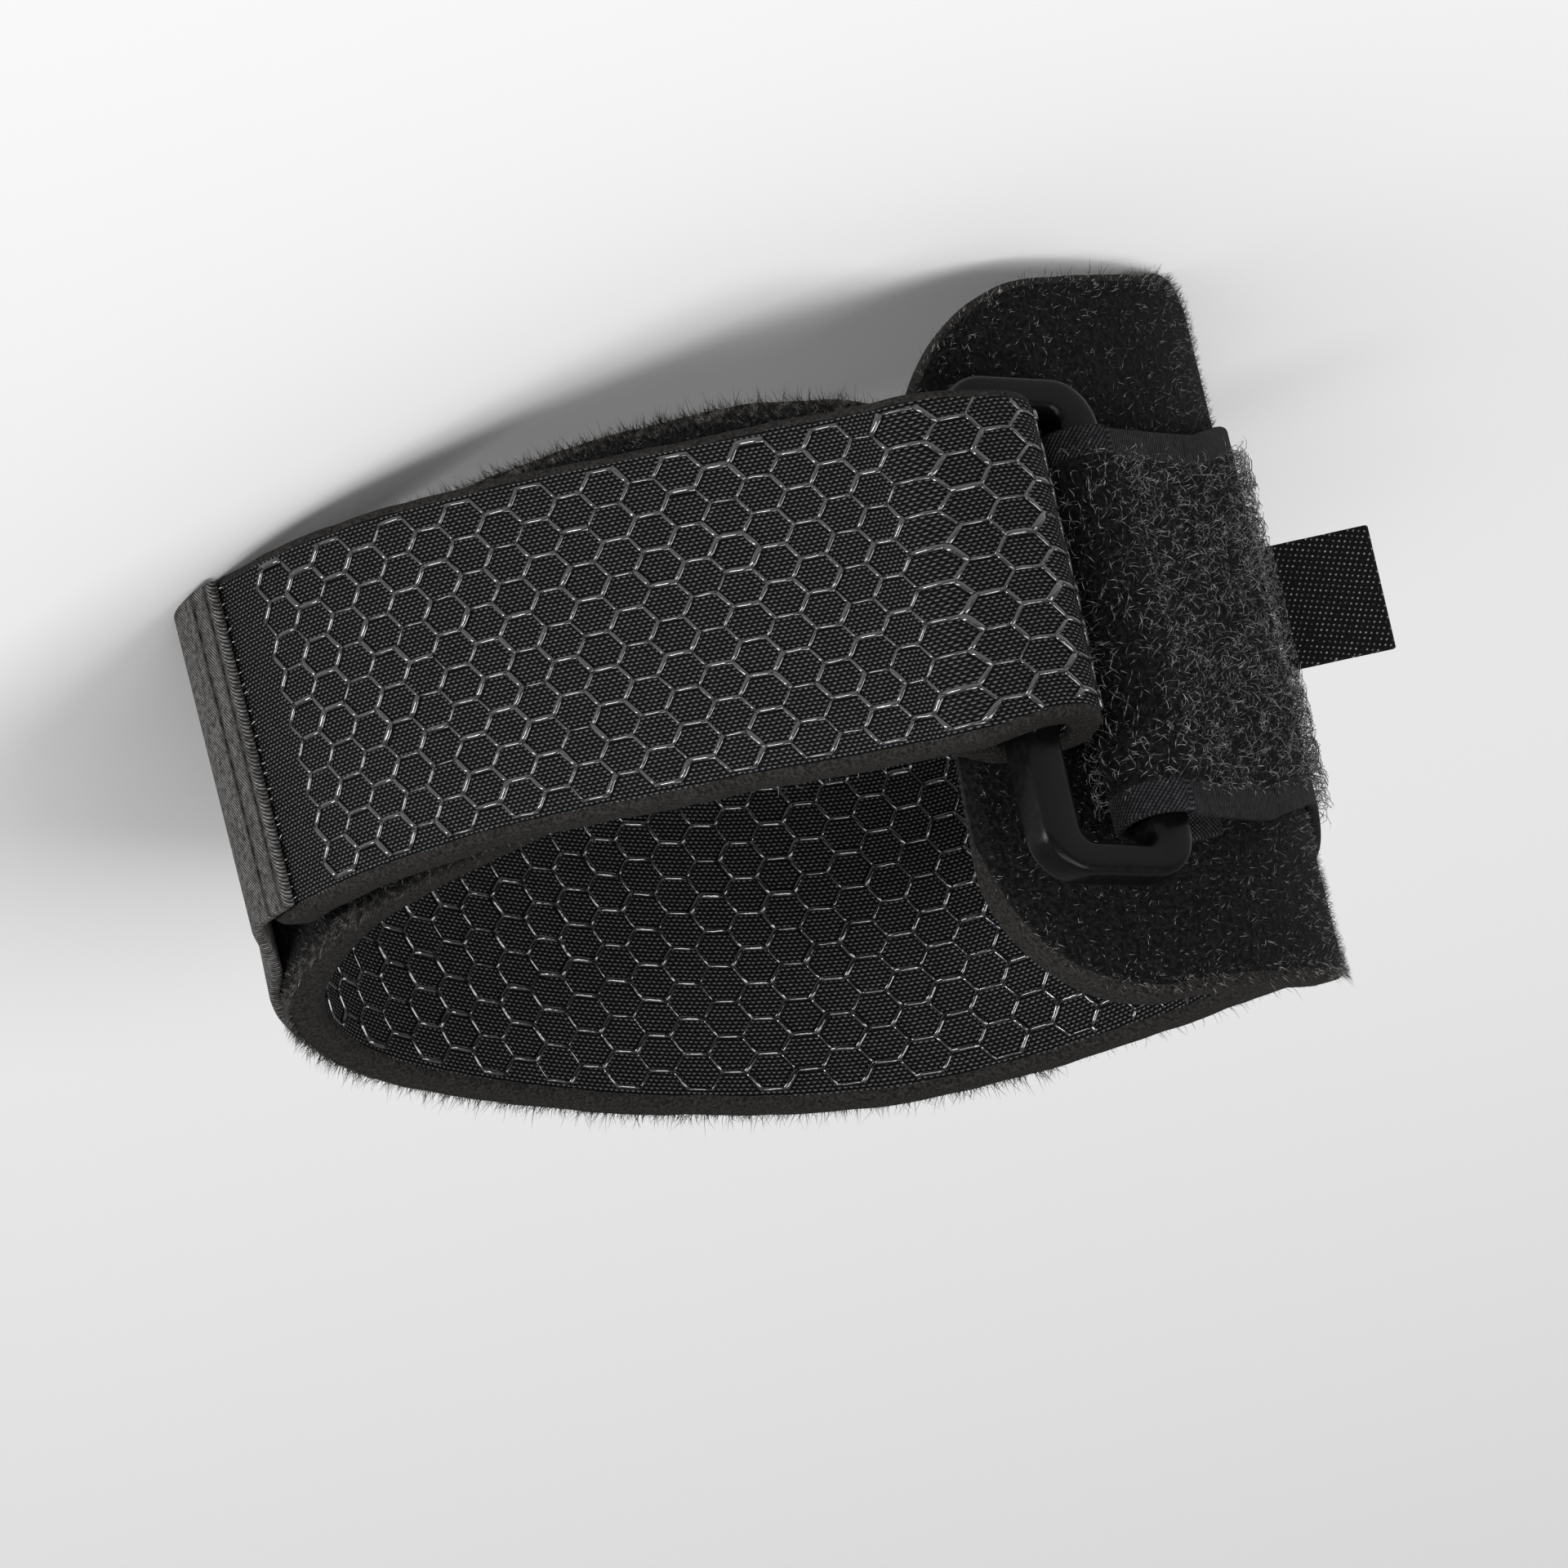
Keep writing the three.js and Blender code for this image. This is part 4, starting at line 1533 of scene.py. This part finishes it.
@dataclass
class SatinRing:
    """The rectangular ring: an eased section carried round a rectangle with round corners."""

    plan: LoopPlan
    pose: RestPose
    corner: float = 4.5
    edge_power: float = 0.42
    corner_cells: int = 10
    side_cells: int = 10
    section_cells: int = 28

    def outline(self, width: float, height: float, radius: float) -> Array:
        """Rectangle with round corners: four arcs joined by even straight runs.

        Args:
            width: across the ring.
            height: up the ring.
            radius: of its corners.

        Returns:
            Places once round.
        """
        x, y = width / 2 - radius, height / 2 - radius
        arc = np.linspace(0, np.pi / 2, self.corner_cells + 1)
        runs = []
        for turn, (cx, cy) in enumerate(((x, y), (-x, y), (-x, -y), (x, -y))):
            angle = arc + turn * np.pi / 2
            runs.append(np.stack([cx + radius * np.cos(angle), cy + radius * np.sin(angle)], axis=1))
        joined = []
        for turn, run in enumerate(runs):
            ahead = runs[(turn + 1) % 4][0]
            share = np.linspace(0, 1, self.side_cells + 1)[1:-1, None]
            joined.extend([run, run[-1] + (ahead - run[-1]) * share])
        return np.concatenate(joined)

    def mesh(self) -> bpy.types.Object:
        """Section point: inner to outer outline by half of 1 + c, and s half thicknesses out.

        c and s are the signed powers of the cosine and sine round the section.

        Returns:
            The piece.
        """
        plan = self.plan
        outer = self.outline(plan.ring_width, plan.ring_height, self.corner)
        slot_w = plan.ring_width - 2 * plan.ring_side_bar
        slot_h = plan.ring_height - 2 * plan.ring_end_bar
        inner = self.outline(slot_w, slot_h, max(self.corner - plan.ring_end_bar, 0.6))
        angle = np.arange(self.section_cells) * 2 * np.pi / self.section_cells
        c = np.sign(np.cos(angle)) * np.abs(np.cos(angle)) ** self.edge_power
        s = np.sign(np.sin(angle)) * np.abs(np.sin(angle)) ** self.edge_power
        flat = mixed(inner[:, None], outer[:, None], ((1 + c) / 2)[None, :, None])
        out = np.broadcast_to(s * plan.ring_thickness / 2, flat.shape[:2])
        bar = plan.fold_side()
        span = plan.ring_width - plan.ring_side_bar
        middle = bar.place + np.append(bar.across * span / 2, 0)
        across = np.append(bar.across, 0)
        normal = np.array([bar.across[1], -bar.across[0], 0])
        up = np.array([0.0, 0.0, 1.0])
        points = middle + flat[..., :1] * across + flat[..., 1:] * up + out[..., None] * normal
        rows, columns = points.shape[:2]
        index = np.arange(rows * columns).reshape(rows, columns)
        ahead = np.roll(index, -1, axis=0)
        quads = np.stack([index, np.roll(index, -1, 1), np.roll(ahead, -1, 1), ahead], axis=-1)
        return build("satin_ring", self.pose.place(points.reshape(-1, 3), soft=False), quads.reshape(-1, 4))

    def make(self) -> list[bpy.types.Object]:
        """Builds and places the ring.

        Returns:
            The ring.
        """
        piece = self.mesh()
        dress(piece, PlasticFinish().material())
        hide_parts("ring")
        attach(piece, "root")
        return [piece]


@dataclass
class RingTape:
    """The ring's loop tape: woven along both edges, with long curly loops between them."""

    plan: LoopPlan
    pose: RestPose
    selvedge: float = 2.6
    fibres: int = 5600
    loop_sunk: float = 0.25
    hidden_leg: float = 10.0
    root_seed: int = 41

    def make(self) -> list[bpy.types.Object]:
        """Returns:
            The tape and its loops.
        """
        rail = self.plan.ring_tape().refined(3)
        thickness = self.plan.ring_tape_thickness
        rim = self.selvedge / (self.plan.ring_tape_width / 2)
        strip = Strip(rail, thickness, 0.4, face_cells=28, end_taper=0.5, wobble=0.06, rim=rim)
        body = strip.mesh("ring_tape", self.pose)
        twill = TwillFinish("selvedge_twill", 0.42, 0.8, (0.002, 0.002, 0.0025), (0.060, 0.060, 0.064))
        weave = twill.material()
        dress(body, weave, weave, PileGroundFinish().material())
        rng = np.random.default_rng(self.root_seed)
        travel = rng.uniform(self.hidden_leg, rail.length - 0.6, self.fibres)
        limit = self.plan.ring_tape_width / 2 - self.selvedge
        height = rng.uniform(-limit, limit, self.fibres)
        base = thickness / 2 - self.loop_sunk
        loops = Pile(
            rail, self.fibres, base, length=(0.9, 2.3), radius=0.032, lean=0.9, curl=1.1, points=5, seed=14
        )
        curls = self.curls(rail, travel, height, loops)
        fibre = FibreFinish("loop_fibre", dark=(0.001, 0.001, 0.001), light=(0.34, 0.34, 0.34))
        dress(curls, fibre.material())
        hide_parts("ring_tab")
        for piece in (body, curls):
            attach(piece, "root")
        return [body, curls]

    def curls(self, rail: Rail, travel: Array, height: Array, loops: Pile) -> bpy.types.Object:
        """Long loops: each rises, leans over and turns back towards the ground.

        With s from 0 to 1, a loop is root + length (0.8 sin(0.72 pi s) out
        + 0.75 (1 - cos(0.6 pi s)) sideways + a seeded twist sin(pi s) square to both).

        Args:
            rail: the tape's path.
            travel: distance of each root.
            height: height of each root.
            loops: the pile's sizes and seed.

        Returns:
            The loops.
        """
        rng = np.random.default_rng(loops.seed)
        count = len(travel)
        place, along, normal, up, _ = rail.frames(travel)
        root = place + normal * loops.base + up * height[:, None]
        angle = rng.uniform(0, 2 * np.pi, count)
        sideways = along * np.cos(angle)[:, None] + up * np.sin(angle)[:, None]
        turned = -along * np.sin(angle)[:, None] + up * np.cos(angle)[:, None]
        long = rng.uniform(*loops.length, count)[:, None, None]
        twist = rng.normal(0, 0.35, count)[:, None, None]
        s = np.linspace(0, 1, loops.points)[None, :, None]
        rise = np.sin(s * np.pi * 0.72)
        drift = 1 - np.cos(s * np.pi * 0.6)
        run = normal[:, None] * rise * 0.8 + sideways[:, None] * drift * 0.75
        run = run + turned[:, None] * twist * np.sin(s * np.pi)
        paths = root[:, None] + long * run
        radius = loops.radius * np.ones((count, loops.points - 1))
        vertices, triangles = tubes(paths, radius)
        return build("ring_tape_loops", self.pose.place(vertices), triangles)


@dataclass
class HookTape:
    """The hook tab: twill outside, two stitch lines, and hook tips along its cut edge."""

    plan: LoopPlan
    pose: RestPose
    stitch: float = 2.1
    stitch_lines: tuple[float, ...] = (0.95, 3.5)
    stitch_margin: float = 1.2
    tips: int = 24
    tip_margin: float = 0.8
    tip_radius: float = 0.045
    tip_seed: int = 61
    dark: tuple[float, float, float] = (0.008, 0.0078, 0.0076)
    light: tuple[float, float, float] = (0.32, 0.31, 0.30)

    def make(self) -> list[bpy.types.Object]:
        """Returns:
            The tab, its stitches and its hook tips.
        """
        rail = self.plan.hook_tape().refined(3)
        thickness = self.plan.hook_tape_thickness
        strip = Strip(rail, thickness, 0.35, face_cells=14, end_taper=0.4, wobble=0.08)
        body = strip.mesh("hook_tape", self.pose)
        # the stitch lines become grooves in the twill, with painted shade darkening them
        twill = TwillFinish("hook_twill", 0.36, 0.9, self.dark, self.light, grooves=self.stitch_lines)
        weave = twill.material()
        dress(body, weave, weave, weave)
        seam = self.stitches(rail)
        tips = self.hooks(rail)
        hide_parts("hook_tab")
        for piece in (body, seam, tips):
            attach(piece, "root")
        return [body, seam, tips]

    def stitches(self, rail: Rail) -> bpy.types.Object:
        """Short sunk stitches in two lines down the tab, each a capsule along the line.

        Args:
            rail: the tape's path.

        Returns:
            The piece.
        """
        half = self.plan.hook_tape_width / 2 - self.stitch_margin
        start = np.arange(-half, half - self.stitch, self.stitch)
        lift = self.plan.hook_tape_thickness / 2 + 0.02
        paths = []
        for line in self.stitch_lines:
            s = np.linspace(0.08, 0.92, 6)
            height = start[:, None] + s[None] * self.stitch
            travel = np.full(height.shape, line)
            bow = np.array([-0.12, 0.02, 0.08, 0.08, 0.02, -0.12])
            offset = -(lift + np.broadcast_to(bow, height.shape))
            paths.append(rail.points(travel, height, offset))
        joined = np.concatenate(paths)
        radius = np.array([0.08, 0.13, 0.14, 0.14, 0.13]) * np.ones((len(joined), 1))
        vertices, triangles = tubes(joined, radius, sides=6)
        piece = build("hook_stitches", self.pose.place(vertices), triangles)
        dress(piece, ThreadFinish("seam_thread", (0.006, 0.006, 0.007)).material())
        return piece

    def hooks(self, rail: Rail) -> bpy.types.Object:
        """Tiny bent bristles that show past the tab's first edge.

        Args:
            rail: the tape's path.

        Returns:
            The piece.
        """
        rng = np.random.default_rng(self.tip_seed)
        half = self.plan.hook_tape_width / 2 - self.tip_margin
        height = np.linspace(-half, half, self.tips) + rng.uniform(-0.4, 0.4, self.tips)
        travel = rng.uniform(0.0, 0.3, self.tips)
        place, along, normal, up, _ = rail.frames(travel)
        base = 0.9 * self.plan.hook_tape_thickness / 2
        root = place + normal * base + up * height[:, None]
        s = np.linspace(0, 1, 4)[None, :, None]
        size = rng.uniform(0.35, 0.65, self.tips)[:, None, None]
        drift = rng.normal(0, 0.3, self.tips)[:, None, None]
        run = -along[:, None] * s + normal[:, None] * 0.35 * s**2 + up[:, None] * drift * s
        radius = np.full((self.tips, 3), self.tip_radius)
        vertices, triangles = tubes(root[:, None] + size * run, radius)
        piece = build("hook_tips", self.pose.place(vertices), triangles)
        dress(piece, ThreadFinish("hook_bristle", (0.35, 0.35, 0.36), 0.35).material())
        return piece


@dataclass
class WovenLabel:
    """A bare woven tape folded once and held at the ring tape's side."""

    plan: LoopPlan
    pose: RestPose
    height: float = 12.0
    length: float = 10.0
    thickness: float = 0.8
    rise: float = -1.0
    layer: float = 0.34

    def rail(self) -> Rail:
        """Out along one layer, round the fold and back along the other.

        Returns:
            The folded tape's path.
        """
        tape = self.plan.ring_tape()
        side = int(np.argmin(tape.rows[:, 0]))
        x, y, z, _, lean = tape.rows[side]
        tilt = (self.height / 2 + abs(self.rise)) * abs(math.tan(math.radians(lean)))
        near = x - self.plan.ring_tape_thickness / 2 - self.plan.gap - tilt
        gap = (self.thickness - self.layer) / 2
        far = near - self.length + gap + self.layer / 2
        out = np.linspace(near - 0.02, far, 9)
        angle = np.linspace(-np.pi / 2, np.pi / 2, 7)[1:-1]
        fold = np.stack([far - gap * np.cos(angle), y + gap * np.sin(angle)], axis=1)
        plan = np.concatenate(
            [
                np.column_stack([out, np.full(9, y - gap)]),
                fold,
                np.column_stack([out[::-1], np.full(9, y + gap)]),
            ]
        )
        fields = np.tile([z + self.rise, self.height / 2, 0], (len(plan), 1))
        return Rail(catmull_rom(np.column_stack([plan, fields]), 4))

    def make(self) -> list[bpy.types.Object]:
        """Returns:
            The label.
        """
        rail = self.rail()
        strip = Strip(rail, self.layer, 0.12, face_cells=10, end_taper=0.1, wobble=0.04)
        body = strip.mesh("woven_label", self.pose)
        weave = LabelFinish().material()
        dress(body, weave, weave, weave)
        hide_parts("label")
        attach(body, "root")
        return [body]


# Studio


@dataclass(frozen=True)
class Lamp:
    """A rectangular soft light: its place and sides in metres, its power in watts."""

    name: str
    place: tuple[float, float, float]
    size: tuple[float, float]
    power: float


@dataclass(frozen=True)
class Studio:
    """Pale floor, soft lights and the camera at the photograph's viewing angle."""

    aim: tuple[float, float, float] = (0.005159, -0.044120, 0.045534)
    distance: float = 1.5
    elevation: float = 18.472
    azimuth: float = -1.869
    roll: float = 161.532
    lens: float = 390.9
    floor: float = 24.0
    sky: float = 0.38
    lit: tuple[float, float, float] = (0.0, 0.0, 0.03)
    lamps: tuple[Lamp, ...] = (
        Lamp("side_light", (0.80, -0.60, 0.08), (0.8, 0.12), 10),
        Lamp("front_light", (0.1, -1.3, 1.5), (1.2, 0.5), 12),
        Lamp("pad_light", (-1.0, -0.9, 1.3), (1.0, 1.0), 23),
    )

    def camera(self) -> None:
        """Looks along the azimuth and elevation at the aim point, rolled about that line."""
        az, el, roll = (math.radians(a) for a in (self.azimuth, self.elevation, self.roll))
        forward = Vector((math.sin(az) * math.cos(el), math.cos(az) * math.cos(el), -math.sin(el)))
        level = forward.cross(Vector((0, 0, 1))).normalized()
        upright = level.cross(forward)
        right = level * math.cos(roll) + upright * math.sin(roll)
        up = upright * math.cos(roll) - level * math.sin(roll)
        turn = Matrix((right, up, -forward)).transposed()
        data = bpy.data.cameras.new("camera")
        data.lens = self.lens
        data.clip_start, data.clip_end = 0.05, 60
        camera = bpy.data.objects.new("camera", data)
        camera.rotation_mode = "QUATERNION"
        camera.rotation_quaternion = turn.to_quaternion()
        camera.location = Vector(self.aim) - forward * self.distance
        bpy.context.scene.collection.objects.link(camera)
        bpy.context.scene.camera = camera

    def light(self, lamp: Lamp) -> None:
        """Turns a lamp to face the object, its first side level.

        Args:
            lamp: the light's place, sides and power.
        """
        data = bpy.data.lights.new(lamp.name, "AREA")
        data.shape = "RECTANGLE"
        data.size, data.size_y = lamp.size
        data.energy = lamp.power
        holder = bpy.data.objects.new(lamp.name, data)
        holder.location = lamp.place
        aim = Vector(self.lit) - Vector(lamp.place)
        holder.rotation_mode = "QUATERNION"
        holder.rotation_quaternion = aim.to_track_quat("-Z", "Y")
        bpy.context.scene.collection.objects.link(holder)

    def make(self) -> None:
        """Builds the floor, the world and the lights."""
        edge = self.floor / 2
        line = np.linspace(-edge, edge, 9)
        x, y = np.meshgrid(line, line, indexing="ij")
        points = np.stack([x.ravel(), y.ravel(), np.zeros(x.size)], axis=1)
        index = np.arange(x.size).reshape(x.shape)
        quads = np.stack([index[:-1, :-1], index[1:, :-1], index[1:, 1:], index[:-1, 1:]], axis=-1)
        mesh = bpy.data.meshes.new("studio_floor")
        mesh.from_pydata(points.tolist(), [], quads.reshape(-1, 4).tolist())
        floor = bpy.data.objects.new("studio_floor", mesh)
        bpy.context.scene.collection.objects.link(floor)
        dress(floor, FloorFinish().material())
        world = bpy.data.worlds.new("studio")
        world.use_nodes = True
        sky = world.node_tree.nodes["Background"]
        sky.inputs["Color"].default_value = (1, 1, 1, 1)
        sky.inputs["Strength"].default_value = self.sky
        bpy.context.scene.world = world
        bpy.context.scene.view_settings.view_transform = "Standard"
        for lamp in self.lamps:
            self.light(lamp)


def main() -> None:
    """Builds the strap's pieces in order."""
    logging.basicConfig(level=logging.INFO, format="%(message)s")
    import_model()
    plan, pose = LoopPlan(), RestPose()
    studio = Studio()
    studio.camera()
    studio.make()
    for part in (
        StrapLaminate(plan, pose),
        SatinRing(plan, pose),
        RingTape(plan, pose),
        HookTape(plan, pose),
        WovenLabel(plan, pose),
    ):
        for piece in part.make():
            log.info("%s: %d faces", piece.name, len(piece.data.polygons))


if __name__ == "__main__":
    main()
